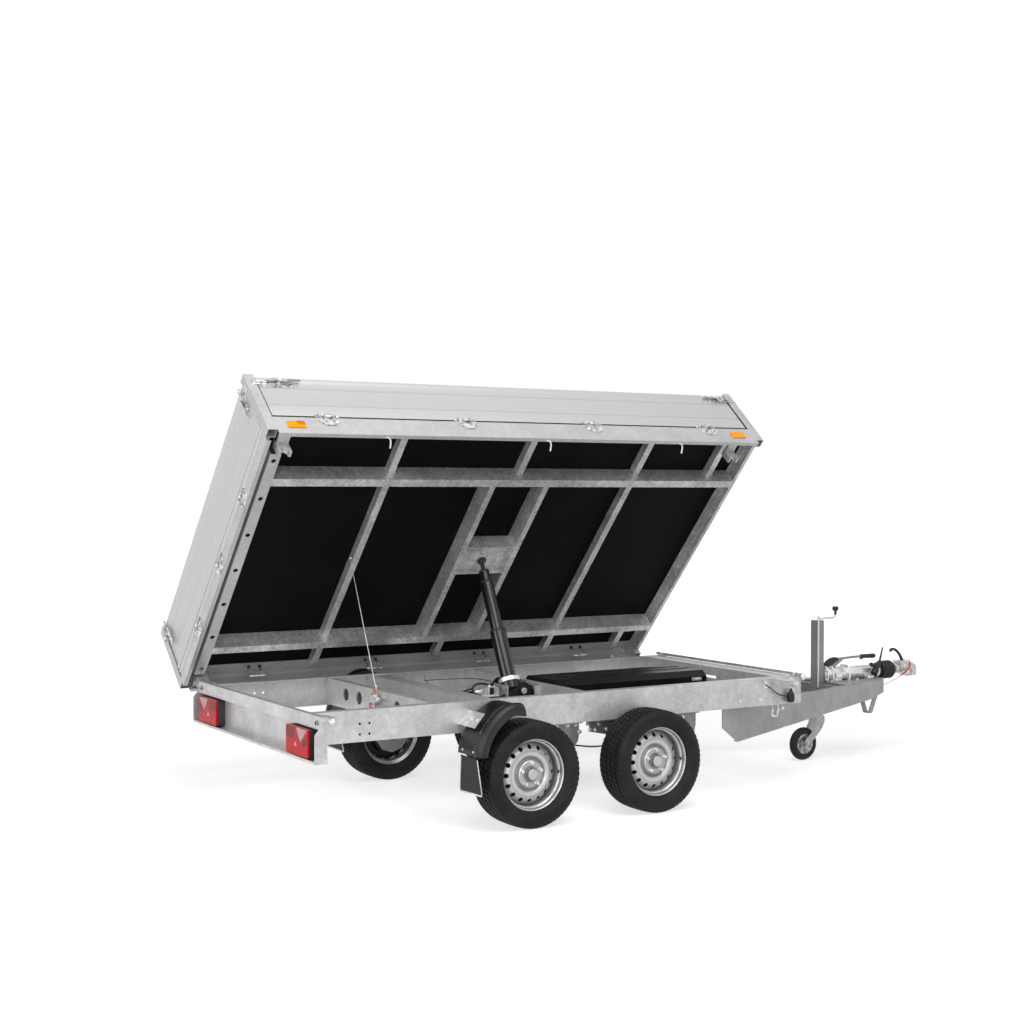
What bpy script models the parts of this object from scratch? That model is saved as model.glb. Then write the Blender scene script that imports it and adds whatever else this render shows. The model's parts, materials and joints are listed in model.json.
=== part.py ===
"""Tandem-axle three-way dump trailer, tipped to its far side and parked on its jockey wheel.

Units are metres. +X points to the coupling, +Y to the side the bed tips to, +Z up.
Sizes are measured from a datum on the floor, midway between the axles on the centre line.
The bed and its boards are drawn lowered and hang from an empty that tips them.
"""
import math

import bmesh
import bpy
from mathutils import Matrix, Vector

# Fits
GAP = 0.0003
PIN_PLAY = 0.0005
SLIDE_PLAY = 0.001
SHEET = 0.004

# Wheels and tyres, sized for 195/50 R13 tyres
TYRE_RADIUS = 0.2625
TYRE_WIDTH = 0.195
RIM_RADIUS = 0.185
BEAD_RADIUS = 0.172
WHEEL_FACE_Y = 0.835
RIM_WIDTH = 0.155
AXLE_SPACING = 0.75
SPINDLE_RADIUS = 0.020
VENT_COUNT = 16
VENT_RADIUS = 0.0085
VENT_CIRCLE = 0.132
TYRE_SEGMENTS = 20
RIM_SEGMENTS = 16

# Bed length and width; the chassis and the pivots are set from its ends
BED_CENTRE_X = -0.0055
BED_HALF_LENGTH = 1.5225
BED_HALF_WIDTH = 0.9127
BED_REAR = BED_CENTRE_X - BED_HALF_LENGTH
BED_FRONT = BED_CENTRE_X + BED_HALF_LENGTH

# Chassis
BEAM_Y = 0.640
BEAM_TOP = 0.615
BEAM_HEIGHT = 0.150
BEAM_FLANGE = 0.050
BEAM_FRONT = BED_FRONT - 0.023
BEAM_BOTTOM = BEAM_TOP - BEAM_HEIGHT
REAR_FACE = BED_REAR + 0.053
REAR_DEPTH = 0.030
REAR_BOTTOM = 0.402
REAR_LIP = 0.033
REAR_STRIP = 0.060
REAR_HALF = 0.775
FRONT_WEB = BEAM_FRONT - 0.134
CROSS_PLATE_X = -0.804
CROSS_HOLE_RADIUS = 0.035
SUPPORT_CHANNEL = (-0.550, -0.455)
HEAD_CHANNEL_X = 0.082
BOX_X = (HEAD_CHANNEL_X + 0.024, FRONT_WEB - 0.260)
BOX_Y = (-0.300, 0.020)
BOX_TOP = 0.633

# Axles
AXLE_TUBE = 0.070
AXLE_TUBE_AHEAD = 0.150
AXLE_TUBE_Z = 0.385
SUPPORT_REAR = 0.270
SUPPORT_FRONT = 0.415
SUPPORT_DROP = 0.135
SUPPORT_Y = 0.600

# Drawbar and coupling
DRAWBAR_ROOT = (0.946, 0.632)
DRAWBAR_NOSE = (2.687, 0.066)
DRAWBAR_FLANGE = 0.030
JOCKEY_X = 2.195
JOCKEY_POST = 0.056
OVERRUN_Z = 0.513
OVERRUN_X = (JOCKEY_X + JOCKEY_POST / 2 + 0.005, 2.430, 2.690)
HOUSING_RADIUS = (0.041, 0.038)
HOUSING_SIDES = 12
NECK_RADIUS = 0.025
BELLOWS_END = 2.815
COUPLING_TIP = 3.016
BALL_CUP_X = 2.972
BALL_CUP_RADIUS = 0.026
BALL_CUP_ROOF = 0.515

# Jockey wheel
JOCKEY_LEG = 0.040
JOCKEY_POST_Z = (0.400, 0.846)
JOCKEY_WHEEL_RADIUS = 0.100
JOCKEY_WHEEL_WIDTH = 0.048
JOCKEY_TRAIL = 0.112
JOCKEY_PIN = 0.006
SWIVEL_PIN = (0.010, 0.012)

# Tipping
TIP_ANGLE = math.radians(48.4)
PIVOT_Y = BED_HALF_WIDTH - 0.0961
PIVOT_Z = 0.595
PIVOT_BALL = 0.020
PIVOT_NECK = 0.011
REAR_PIVOT_X = BED_REAR + 0.091
FRONT_PIVOT_X = BED_FRONT - 0.213
CARRIER_END_Y = PIVOT_Y - 0.0266
CARRIER_Z = (PIVOT_Z - 0.022, PIVOT_Z + 0.017)

# Bed, drawn lowered
RIM_BOTTOM = 0.6287
RIM_TOP = 0.750
REAR_RIM_TOP = 0.687
RIM_SHEET = 0.003
RIM_FLANGE = 0.022
RIM_LEDGE = 0.070
FRONT_RIM_BOTTOM = 0.687
FRONT_RIM_LEDGE = 0.048
FLOOR_THICKNESS = 0.015
POST = 0.050
POST_BOTTOM = 0.654
POST_TOP = 1.075
POST_WALL = 0.003
END_CHANNEL = (0.041, 0.098)
CHANNEL_END = BED_HALF_WIDTH - 0.1347
END_HOLE_SPACING = 0.245
END_HOLE_RADIUS = 0.014
# Outer faces of the webs; both beams open the same way
LONG_BEAM_Y = (-0.5995, 0.5995)
LONG_BEAM_FLANGE = 0.048
LONG_BEAM_BOTTOM = 0.6525
CROSS_BOTTOM = 0.706
CROSS_FLANGE = 0.038
CROSS_MEMBER_X = (BED_REAR + 0.7615, BED_FRONT - 0.742)
CROSSHEAD_X = (-0.163, 0.1755)
CROSSHEAD_FLANGE = 0.034
CROSSHEAD_HALF = 0.098
STUB_X = (0.009, BED_FRONT - 0.221)
HEAD_BALL_Z = 0.655
HEAD_BALL = 0.020

# Boards
BOARD = 0.025
BOARD_SET_IN = 0.0077
BOARD_OVER_RIM = 0.0035
BOARD_TOP = 1.065
BOARD_END_PLAY = 0.0055
GROOVE_Z = (0.851, 0.979)
HINGE_OUT = 0.0088
HINGE_OVER_RIM = 0.0015
KNUCKLE_RADIUS = 0.0085
LUG = (0.0205, 0.0265)
LUG_OVER_RIM = (-0.0090, 0.0075)
SIDE_HINGE_INSET = (0.343, 0.354)
SIDE_HINGE_COUNT = 4
TAILGATE_HINGE_Y = (-0.460, 0.0, 0.460)
# Rails along the tailgate, from low to high over the rear rim
TAILGATE_RAILS = ((0.016, 0.036), (0.060, 0.082))

# Lift cylinder, measured along its axis from the trunnion
TRUNNION_Z = 0.570
TRUNNION_PIN = 0.0125
BARREL_RADIUS = 0.0525
BARREL_BOTTOM = -0.350
BARREL_TOP = 0.056
# Each stage: radius, lower end and upper end when the bed is tipped
STAGES = ((0.0435, -0.030, 0.334), (0.0360, 0.290, 0.624), (0.0280, 0.585, None))

# Mudguards
GUARD_CENTRE = (-0.385, 0.272)
GUARD_RADIUS = 0.342
GUARD_Y = (0.648, 0.868)
GUARD_START = math.radians(62)
FLAP_BOTTOM = 0.155

# Driven places
HUB_BORE = (SPINDLE_RADIUS + PIN_PLAY) / math.cos(math.pi / RIM_SEGMENTS)
REAR_AXLE_X = -AXLE_SPACING / 2
FRONT_AXLE_X = AXLE_SPACING / 2
FLOOR_BOTTOM = RIM_TOP + GAP
HINGE_Z = RIM_TOP + HINGE_OVER_RIM
TAILGATE_HINGE_Z = REAR_RIM_TOP + HINGE_OVER_RIM
CHANNEL_TOP = BEAM_TOP - SHEET - GAP
CHANNEL_BOTTOM = BEAM_BOTTOM + SHEET + GAP
CHANNEL_Y = BEAM_Y - SHEET - GAP
BOARD_FACE_Y = BED_HALF_WIDTH - BOARD_SET_IN
DRAWBAR_TOP = BEAM_BOTTOM - GAP
FIRST_HINGE_X = BED_REAR + SIDE_HINGE_INSET[0]
HINGE_SPACING = (BED_FRONT - SIDE_HINGE_INSET[1] - FIRST_HINGE_X) / (SIDE_HINGE_COUNT - 1)
SIDE_HINGE_X = [FIRST_HINGE_X + number * HINGE_SPACING for number in range(SIDE_HINGE_COUNT)]


def tipped(y, z):
    """Where a point of the lowered bed goes when the bed is tipped."""
    across, up = y - PIVOT_Y, z - PIVOT_Z
    cosine, sine = math.cos(TIP_ANGLE), math.sin(TIP_ANGLE)
    return PIVOT_Y + cosine * across + sine * up, PIVOT_Z - sine * across + cosine * up


HEAD_Y, HEAD_Z = tipped(0.0, HEAD_BALL_Z)
LIFT_LENGTH = math.hypot(HEAD_Y, HEAD_Z - TRUNNION_Z)
LIFT_ANGLE = math.atan2(HEAD_Y, HEAD_Z - TRUNNION_Z)
REARMOST = BED_REAR - HINGE_OUT - KNUCKLE_RADIUS
FARMOST = tipped(BED_HALF_WIDTH, POST_TOP)[0]
FOOTPRINT_CENTRE = ((REARMOST + COUPLING_TIP) / 2, (FARMOST - GUARD_Y[1]) / 2)


# The part's own collection and its finishes
for old in list(bpy.data.objects):
    bpy.data.objects.remove(old, do_unlink=True)
TRAILER = bpy.data.collections.new("dump_trailer")
bpy.context.scene.collection.children.link(TRAILER)


def finish_of(name, colour, roughness, metallic):
    material = bpy.data.materials.new(name)
    material.use_nodes = True
    shader = material.node_tree.nodes["Principled BSDF"]
    shader.inputs["Base Color"].default_value = (*colour, 1.0)
    shader.inputs["Roughness"].default_value = roughness
    shader.inputs["Metallic"].default_value = metallic
    return material


GALVANISED = finish_of("galvanised", (0.60, 0.62, 0.64), 0.42, 0.85)
ALUMINIUM = finish_of("aluminium", (0.76, 0.77, 0.78), 0.38, 0.80)
WHEEL_SILVER = finish_of("wheel_silver", (0.66, 0.67, 0.69), 0.35, 0.60)
TYRE_RUBBER = finish_of("tyre_rubber", (0.025, 0.025, 0.027), 0.80, 0.0)
BLACK_PLASTIC = finish_of("black_plastic", (0.03, 0.03, 0.032), 0.50, 0.0)
BLACK_PAINT = finish_of("black_paint", (0.02, 0.02, 0.022), 0.35, 0.0)
FLOOR_BLACK = finish_of("floor_black", (0.012, 0.012, 0.013), 0.55, 0.0)
LAMP_RED = finish_of("lamp_red", (0.65, 0.02, 0.02), 0.15, 0.0)
ZINC = finish_of("zinc", (0.80, 0.80, 0.82), 0.30, 0.90)
LIFT_STEEL = finish_of("lift_steel", (0.06, 0.06, 0.065), 0.25, 0.60)


# Shapes
def held(name, mesh):
    shape = bpy.data.objects.new(name, mesh)
    TRAILER.objects.link(shape)
    return shape


def from_bmesh(work):
    bmesh.ops.remove_doubles(work, verts=work.verts, dist=0.00001)
    bmesh.ops.recalc_face_normals(work, faces=work.faces)
    if work.calc_volume(signed=True) < 0.0:
        bmesh.ops.reverse_faces(work, faces=work.faces)
    mesh = bpy.data.meshes.new("shape")
    work.to_mesh(mesh)
    work.free()
    return held("shape", mesh)


def baked(shape):
    """Replace an object by the mesh that its modifiers or curve settings make."""
    bpy.context.view_layer.update()
    graph = bpy.context.evaluated_depsgraph_get()
    mesh = bpy.data.meshes.new_from_object(shape.evaluated_get(graph))
    mesh.transform(shape.matrix_world)
    work = bmesh.new()
    work.from_mesh(mesh)
    bpy.data.objects.remove(shape, do_unlink=True)
    bpy.data.meshes.remove(mesh)
    return from_bmesh(work)


def block(x, y, z):
    """A box between pairs of coordinates."""
    work = bmesh.new()
    bmesh.ops.create_cube(work, size=1.0)
    size = Vector((x[1] - x[0], y[1] - y[0], z[1] - z[0]))
    centre = Vector((x[0] + x[1], y[0] + y[1], z[0] + z[1])) / 2
    work.transform(Matrix.Translation(centre) @ Matrix.Diagonal((*size, 1.0)))
    return from_bmesh(work)


def rod(start, end, radius, sides=12, end_radius=None):
    """A cylinder, or a cone where end_radius is given, between two points."""
    start, end = Vector(start), Vector(end)
    along = end - start
    work = bmesh.new()
    bmesh.ops.create_cone(work, cap_ends=True, segments=sides, radius1=radius,
                          radius2=radius if end_radius is None else end_radius, depth=along.length)
    turn = along.to_track_quat("Z", "Y").to_matrix().to_4x4()
    work.transform(Matrix.Translation((start + end) / 2) @ turn)
    return from_bmesh(work)


def ball(centre, radius):
    work = bmesh.new()
    bmesh.ops.create_uvsphere(work, u_segments=8, v_segments=6, radius=radius)
    work.transform(Matrix.Translation(centre))
    return from_bmesh(work)


PLANES = {
    "XZ": Matrix(((1, 0, 0, 0), (0, 0, -1, 0), (0, 1, 0, 0), (0, 0, 0, 1))),
    "YZ": Matrix(((0, 0, 1, 0), (1, 0, 0, 0), (0, 1, 0, 0), (0, 0, 0, 1))),
    "XY": Matrix.Identity(4),
}


def plate(outline, plane, low, high, holes=()):
    """Extrude a flat outline between two depths. In XZ the depth is Y."""
    if plane == "XZ":
        low, high = -high, -low
    curve = bpy.data.curves.new("outline", "CURVE")
    curve.dimensions = "2D"
    curve.fill_mode = "BOTH"
    curve.extrude = (high - low) / 2
    for loop in (outline, *holes):
        spline = curve.splines.new("POLY")
        spline.points.add(len(loop) - 1)
        for point, (across, up) in zip(spline.points, loop):
            point.co = (across, up, 0.0, 1.0)
        spline.use_cyclic_u = True
    shape = held("outline", curve)
    matrix = PLANES[plane] if isinstance(plane, str) else plane
    shape.matrix_world = matrix @ Matrix.Translation((0.0, 0.0, (low + high) / 2))
    return baked(shape)


def circle(centre, radius, sides=16):
    turns = [2 * math.pi * step / sides for step in range(sides)]
    return [(centre[0] + radius * math.cos(turn), centre[1] + radius * math.sin(turn)) for turn in turns]


def around(radius, clearance, sides):
    """Radius of a faceted bore whose flats stay clear of a round of the given radius."""
    return (radius + clearance) / math.cos(math.pi / sides)


def arc(centre, radius, start, end, steps):
    """Points along an arc; angles in degrees."""
    turns = [math.radians(start + (end - start) * step / steps) for step in range(steps + 1)]
    return [(centre[0] + radius * math.cos(turn), centre[1] + radius * math.sin(turn)) for turn in turns]


def turned(profile, segments, closed=False):
    """Turn a profile of (radius, height) about Z. An open one starts and ends on the axis."""
    mesh = bpy.data.meshes.new("profile")
    count = len(profile)
    edges = [(step, step + 1) for step in range(count - 1)]
    if closed:
        edges.append((count - 1, 0))
    mesh.from_pydata([(radius, 0.0, height) for radius, height in profile], edges, [])
    shape = held("profile", mesh)
    screw = shape.modifiers.new("turn", "SCREW")
    screw.axis = "Z"
    screw.steps = segments
    screw.render_steps = segments
    screw.use_merge_vertices = True
    screw.merge_threshold = 0.00005
    return baked(shape)


def laid(shape, axis, centre=(0.0, 0.0, 0.0)):
    """Lay a turned shape's own Z along the given axis, through a centre."""
    turn = Vector(axis).to_track_quat("Z", "Y").to_matrix().to_4x4()
    shape.data.transform(Matrix.Translation(centre) @ turn)
    return shape


def wire(points, radius, resolution=2):
    """A round bar along a polyline, with closed ends."""
    curve = bpy.data.curves.new("wire", "CURVE")
    curve.dimensions = "3D"
    curve.bevel_depth = radius
    curve.bevel_resolution = resolution
    curve.use_fill_caps = True
    spline = curve.splines.new("POLY")
    spline.points.add(len(points) - 1)
    for point, place in zip(spline.points, points):
        point.co = (*place, 1.0)
    return baked(held("wire", curve))


def mirrored(shape):
    """A copy on the other side of the centre line."""
    copy = held("copy", shape.data.copy())
    copy.data.transform(Matrix.Diagonal((1.0, -1.0, 1.0, 1.0)))
    copy.data.flip_normals()
    return copy


def combined(base, tools, operation):
    for tool in tools:
        step = base.modifiers.new("step", "BOOLEAN")
        step.operation = operation
        step.solver = "EXACT"
        step.object = tool
        base = baked(base)
        bpy.data.objects.remove(tool, do_unlink=True)
    return base


def fused(base, *tools):
    return combined(base, tools, "UNION")


def cut(base, *tools):
    return combined(base, tools, "DIFFERENCE")


def together(shapes):
    """Several shapes that don't touch, as one object for a single cut."""
    work = bmesh.new()
    for shape in shapes:
        work.from_mesh(shape.data)
        bpy.data.objects.remove(shape, do_unlink=True)
    return from_bmesh(work)


# Joint frames: an empty on each axis, with its place on the lowered trailer
def joint_frame(name, place, parent=None, parent_place=(0.0, 0.0, 0.0), turn=(0.0, 0.0, 0.0)):
    empty = bpy.data.objects.new(name, None)
    TRAILER.objects.link(empty)
    empty.parent = parent
    empty.location = Vector(place) - Vector(parent_place)
    empty.rotation_euler = turn
    return empty, Vector(place)


DATUM = joint_frame("datum", (-FOOTPRINT_CENTRE[0], -FOOTPRINT_CENTRE[1], 0.0))
CHASSIS = (DATUM[0], Vector((0.0, 0.0, 0.0)))
BED = joint_frame("bed_tip", (0.0, PIVOT_Y, PIVOT_Z), DATUM[0], turn=(-TIP_ANGLE, 0.0, 0.0))


def finished(shape, name, material, frame=CHASSIS, smooth=False):
    """Name a shape, give it its finish and hang it on its joint frame."""
    parent, place = frame
    shape.name = name
    shape.data.name = name
    shape.data.materials.clear()
    shape.data.materials.append(material)
    shape.parent = parent
    shape.location = -place
    if smooth:
        shape.data.shade_smooth()
        shape.data.set_sharp_from_angle(angle=math.radians(35))
    return shape


# Wheels: the same tyre and rim four times, outboard side towards -Y in the wheel's own frame
def tyre_shape():
    half = TYRE_WIDTH / 2
    inner = around(BEAD_RADIUS, GAP, TYRE_SEGMENTS)
    bead = RIM_WIDTH / 2 - 0.0085
    crown = TYRE_RADIUS
    # columns: radius, distance from the middle of the tread
    side = [(inner, bead - 0.002), (inner + 0.036, half),
            (crown - 0.020, half - 0.009), (crown, half - 0.034)]
    profile = [(radius, -across) for radius, across in side]
    profile += [(radius, across) for radius, across in side[::-1]]
    return laid(turned(profile, TYRE_SEGMENTS, closed=True), (0, 1, 0))


def rim_shape():
    """Steel disc wheel with hub cap, round vents and brake drum. Heights run outboard from its centre."""
    face = RIM_WIDTH / 2
    back = -face
    # columns: radius, height from the rim's centre plane
    profile = [
        (0.0, face - 0.017), (0.032, face - 0.020), (0.064, face - 0.046), (0.110, face - 0.044), (0.148, face - 0.068),
        (BEAD_RADIUS - 0.002, face - 0.013), (RIM_RADIUS - 0.004, face), (BEAD_RADIUS, face - 0.0085),
        (BEAD_RADIUS, back + 0.0085), (RIM_RADIUS - 0.004, back), (0.163, back + 0.015),
        (0.150, face - 0.080), (0.112, face - 0.062), (0.112, back + 0.015), (HUB_BORE, back + 0.015),
        (HUB_BORE, face - 0.075), (0.0, face - 0.075)]
    wheel = laid(turned(profile, RIM_SEGMENTS), (0, -1, 0))
    vents = []
    for number in range(VENT_COUNT):
        turn = 2 * math.pi * (number + 0.5) / VENT_COUNT
        across, up = VENT_CIRCLE * math.cos(turn), VENT_CIRCLE * math.sin(turn)
        vents.append(rod((across, -face, up), (across, -face + 0.120, up), VENT_RADIUS, sides=4))
    return cut(wheel, together(vents))


TYRE_MESH = tyre_shape()
RIM_MESH = rim_shape()
WHEEL_CENTRE_Y = WHEEL_FACE_Y - RIM_WIDTH / 2
# columns: name, x of the axle, side (-1 near, +1 far)
WHEELS = (("near_rear", REAR_AXLE_X, -1), ("near_front", FRONT_AXLE_X, -1),
          ("far_rear", REAR_AXLE_X, 1), ("far_front", FRONT_AXLE_X, 1))
for name, axle_x, side in WHEELS:
    turn = (0.0, 0.0, 0.0 if side < 0 else math.pi)
    hub, _ = joint_frame(f"wheel_{name}", (axle_x, side * WHEEL_CENTRE_Y, TYRE_RADIUS), DATUM[0], turn=turn)
    own_frame = (hub, Vector((0.0, 0.0, 0.0)))
    finished(held("t", TYRE_MESH.data.copy()), f"tyre_{name}", TYRE_RUBBER, own_frame, smooth=True)
    finished(held("r", RIM_MESH.data.copy()), f"rim_{name}", WHEEL_SILVER, own_frame, smooth=True)
bpy.data.objects.remove(TYRE_MESH, do_unlink=True)
bpy.data.objects.remove(RIM_MESH, do_unlink=True)


# Side beams: C channels open inwards, with the front pivot balls and the mudguard brackets
def pivot_carrier(x, half_length, inner_y):
    """Bracket that holds a pivot ball outboard of a beam, from inner_y to the near side."""
    bracket = block((x - half_length, x + half_length), (-CARRIER_END_Y, -inner_y), CARRIER_Z)
    neck = rod((x, -CARRIER_END_Y + SHEET, PIVOT_Z), (x, -PIVOT_Y, PIVOT_Z), PIVOT_NECK, sides=8)
    return fused(bracket, neck, ball((x, -PIVOT_Y, PIVOT_Z), PIVOT_BALL))


def guard_bracket():
    """Flat strap from the beam's web to the back of the mudguard, tangent to the guard."""
    radius = GUARD_RADIUS + GAP + SHEET / 2
    direction = Vector((math.cos(math.radians(135)), math.sin(math.radians(135))))
    along = Vector((-direction.y, direction.x))
    centre = Vector(GUARD_CENTRE) + direction * radius
    half_width, half_sheet = 0.045, SHEET / 2
    corners = [centre + along * a + direction * d
               for a, d in ((-half_width, -half_sheet), (half_width, -half_sheet),
                            (half_width, half_sheet), (-half_width, half_sheet))]
    return plate([tuple(corner) for corner in corners], "XZ", -GUARD_Y[1] + 0.068, -BEAM_Y + SHEET / 2)


def side_beam_shape():
    y, top, bottom, lip = -BEAM_Y, BEAM_TOP, BEAM_BOTTOM, -BEAM_Y + BEAM_FLANGE
    section = [(y, bottom), (lip, bottom), (lip, bottom + SHEET), (y + SHEET, bottom + SHEET),
               (y + SHEET, top - SHEET), (lip, top - SHEET), (lip, top), (y, top)]
    rear = REAR_FACE + REAR_DEPTH + GAP
    beam = plate(section, "YZ", rear, BEAM_FRONT)
    beam = fused(beam, pivot_carrier(FRONT_PIVOT_X, 0.030, BEAM_Y - SHEET / 2), guard_bracket())
    bolts = [rod((x, -BEAM_Y - 0.01, z), (x, -BEAM_Y + 0.01, z), 0.007, sides=6)
             for x in (-1.217, -1.167) for z in (0.500, 0.550)]
    return cut(beam, together(bolts))


near_beam = side_beam_shape()
finished(mirrored(near_beam), "side_beam_far", GALVANISED)
finished(near_beam, "side_beam_near", GALVANISED)


# Rear beam: one folded sheet with a lip under the lamps, slanted end plates and two pivot balls
def rear_beam_shape():
    front = REAR_FACE + REAR_DEPTH
    lip = REAR_FACE - REAR_LIP
    top, bottom = BEAM_TOP, REAR_BOTTOM
    section = [
        (REAR_FACE, top - REAR_STRIP), (REAR_FACE, top), (front, top), (front, bottom), (lip, bottom),
        (lip, bottom + 0.012), (lip + SHEET, bottom + 0.012), (lip + SHEET, bottom + SHEET),
        (front - SHEET, bottom + SHEET), (front - SHEET, top - SHEET), (REAR_FACE + SHEET, top - SHEET),
        (REAR_FACE + SHEET, top - REAR_STRIP)]
    beam = plate(section, "XZ", -REAR_HALF + 0.003, REAR_HALF - 0.003)
    edge = 0.0005
    end = [(REAR_FACE - edge, top + edge), (front - edge, top + edge), (front - edge, bottom - edge),
           (lip - edge, bottom - edge), (lip - edge, top - 0.080), (REAR_FACE - edge, top - 0.040)]
    near_end = plate(end, "XZ", -REAR_HALF, -REAR_HALF + SHEET)
    near = fused(near_end, pivot_carrier(REAR_PIVOT_X, 0.026, REAR_HALF - 0.085))
    far = mirrored(near)
    return fused(beam, near, far)


finished(rear_beam_shape(), "rear_beam", GALVANISED)


# Cross pieces between the side beams
def channel(x, depth, open_to, bottom=CHANNEL_BOTTOM, top=CHANNEL_TOP, sheet=SHEET):
    """C section in XZ whose web stands at x and whose flanges run depth towards open_to."""
    tip = x + open_to * depth
    inside = x + open_to * sheet
    return [(x, bottom), (tip, bottom), (tip, bottom + sheet), (inside, bottom + sheet),
            (inside, top - sheet), (tip, top - sheet), (tip, top), (x, top)]


front_beam = plate(channel(FRONT_WEB, 0.128, 1), "XZ", -CHANNEL_Y, CHANNEL_Y)
slot = plate([(-0.060, 0.545), (0.060, 0.545), (0.060, 0.560), (-0.060, 0.560)], "YZ",
             FRONT_WEB - 0.01, FRONT_WEB + 0.01)
finished(cut(front_beam, slot), "front_beam", GALVANISED)

cross_plate = plate(channel(CROSS_PLATE_X, 0.040, 1), "XZ", -CHANNEL_Y, CHANNEL_Y)
openings = [rod((CROSS_PLATE_X - 0.01, y, 0.545), (CROSS_PLATE_X + 0.01, y, 0.545), CROSS_HOLE_RADIUS)
            for y in (-0.376, -0.216, 0.216, 0.376)]
openings.append(block((CROSS_PLATE_X - 0.01, CROSS_PLATE_X + 0.01), (-0.120, -0.020), (0.563, 0.573)))
finished(cut(cross_plate, together(openings)), "cross_plate", GALVANISED)

low, high = SUPPORT_CHANNEL
hat = [(low, CHANNEL_BOTTOM), (low, CHANNEL_TOP), (high, CHANNEL_TOP), (high, CHANNEL_BOTTOM),
       (high - SHEET, CHANNEL_BOTTOM), (high - SHEET, CHANNEL_TOP - SHEET),
       (low + SHEET, CHANNEL_TOP - SHEET), (low + SHEET, CHANNEL_BOTTOM)]
finished(plate(hat, "XZ", -CHANNEL_Y, CHANNEL_Y), "cross_channel_rear", GALVANISED)
finished(plate(channel(HEAD_CHANNEL_X, 0.020, 1), "XZ", -CHANNEL_Y, CHANNEL_Y),
         "cross_channel_front", GALVANISED)


# Cylinder cradle: two cheek plates between the channels and the gimbal ring on its pins
CHEEK_Y = 0.121
RING_X = 0.072
RING_Y = 0.098


def cradle_shape():
    rear, front = SUPPORT_CHANNEL[1] + GAP, HEAD_CHANNEL_X - GAP
    boss = arc((0.0, TRUNNION_Z), 0.048, 20, 160, 5)
    cheek = [(rear, CHANNEL_BOTTOM), (front, CHANNEL_BOTTOM), (front, 0.560), *boss, (-0.140, 0.550),
             (rear, 0.550)]
    near = plate(cheek, "XZ", -CHEEK_Y - SHEET, -CHEEK_Y)
    far = plate(cheek, "XZ", CHEEK_Y, CHEEK_Y + SHEET)
    low, high = TRUNNION_Z - 0.022, TRUNNION_Z + 0.022
    outer = [(-RING_X, -RING_Y), (RING_X, -RING_Y), (RING_X, RING_Y), (-RING_X, RING_Y)]
    inner = [(-RING_X + 0.014, -RING_Y + 0.015), (RING_X - 0.014, -RING_Y + 0.015),
             (RING_X - 0.014, RING_Y - 0.015), (-RING_X + 0.014, RING_Y - 0.015)]
    ring = plate(outer, "XY", low, high, holes=(inner,))
    bore = around(TRUNNION_PIN, PIN_PLAY, 8)
    bores = [rod((side * 0.05, 0, TRUNNION_Z), (side * 0.08, 0, TRUNNION_Z), bore, sides=8)
             for side in (-1, 1)]
    ring = cut(ring, together(bores))
    pins = [rod((0, side * (RING_Y - 0.006), TRUNNION_Z), (0, side * (CHEEK_Y + 0.014), TRUNNION_Z),
                0.014, sides=8) for side in (-1, 1)]
    tie = block((rear + 0.120, rear + 0.126), (-CHEEK_Y - 0.002, CHEEK_Y + 0.002), (0.480, 0.540))
    return fused(ring, *pins, near, far, tie)


finished(cradle_shape(), "cylinder_cradle", BLACK_PAINT)


# Pump and battery box under a ribbed cover, on two straps that lie on the beams' lower flanges
def box_shape():
    near, far = BOX_Y
    bottom = CHANNEL_BOTTOM + 0.010
    section = [(near, bottom), (far, bottom), (far, BOX_TOP - 0.020), (far - 0.020, BOX_TOP)]
    for ridge in (-0.060, -0.150):
        section += [(ridge + 0.020, BOX_TOP), (ridge + 0.014, BOX_TOP - 0.006),
                    (ridge - 0.014, BOX_TOP - 0.006), (ridge - 0.020, BOX_TOP)]
    section += [(near + 0.035, BOX_TOP), (near, BOX_TOP - 0.030), (near, BOX_TOP - 0.060),
                (near + 0.006, BOX_TOP - 0.064), (near + 0.006, BOX_TOP - 0.072), (near, BOX_TOP - 0.076)]
    box = plate(section, "YZ", *BOX_X)
    straps = [block((x, x + 0.040), (-CHANNEL_Y, CHANNEL_Y), (CHANNEL_BOTTOM, CHANNEL_BOTTOM + 0.012))
              for x in (BOX_X[0] + 0.190, BOX_X[1] - 0.230)]
    return fused(box, *straps)


finished(box_shape(), "pump_box", BLACK_PLASTIC)


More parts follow.
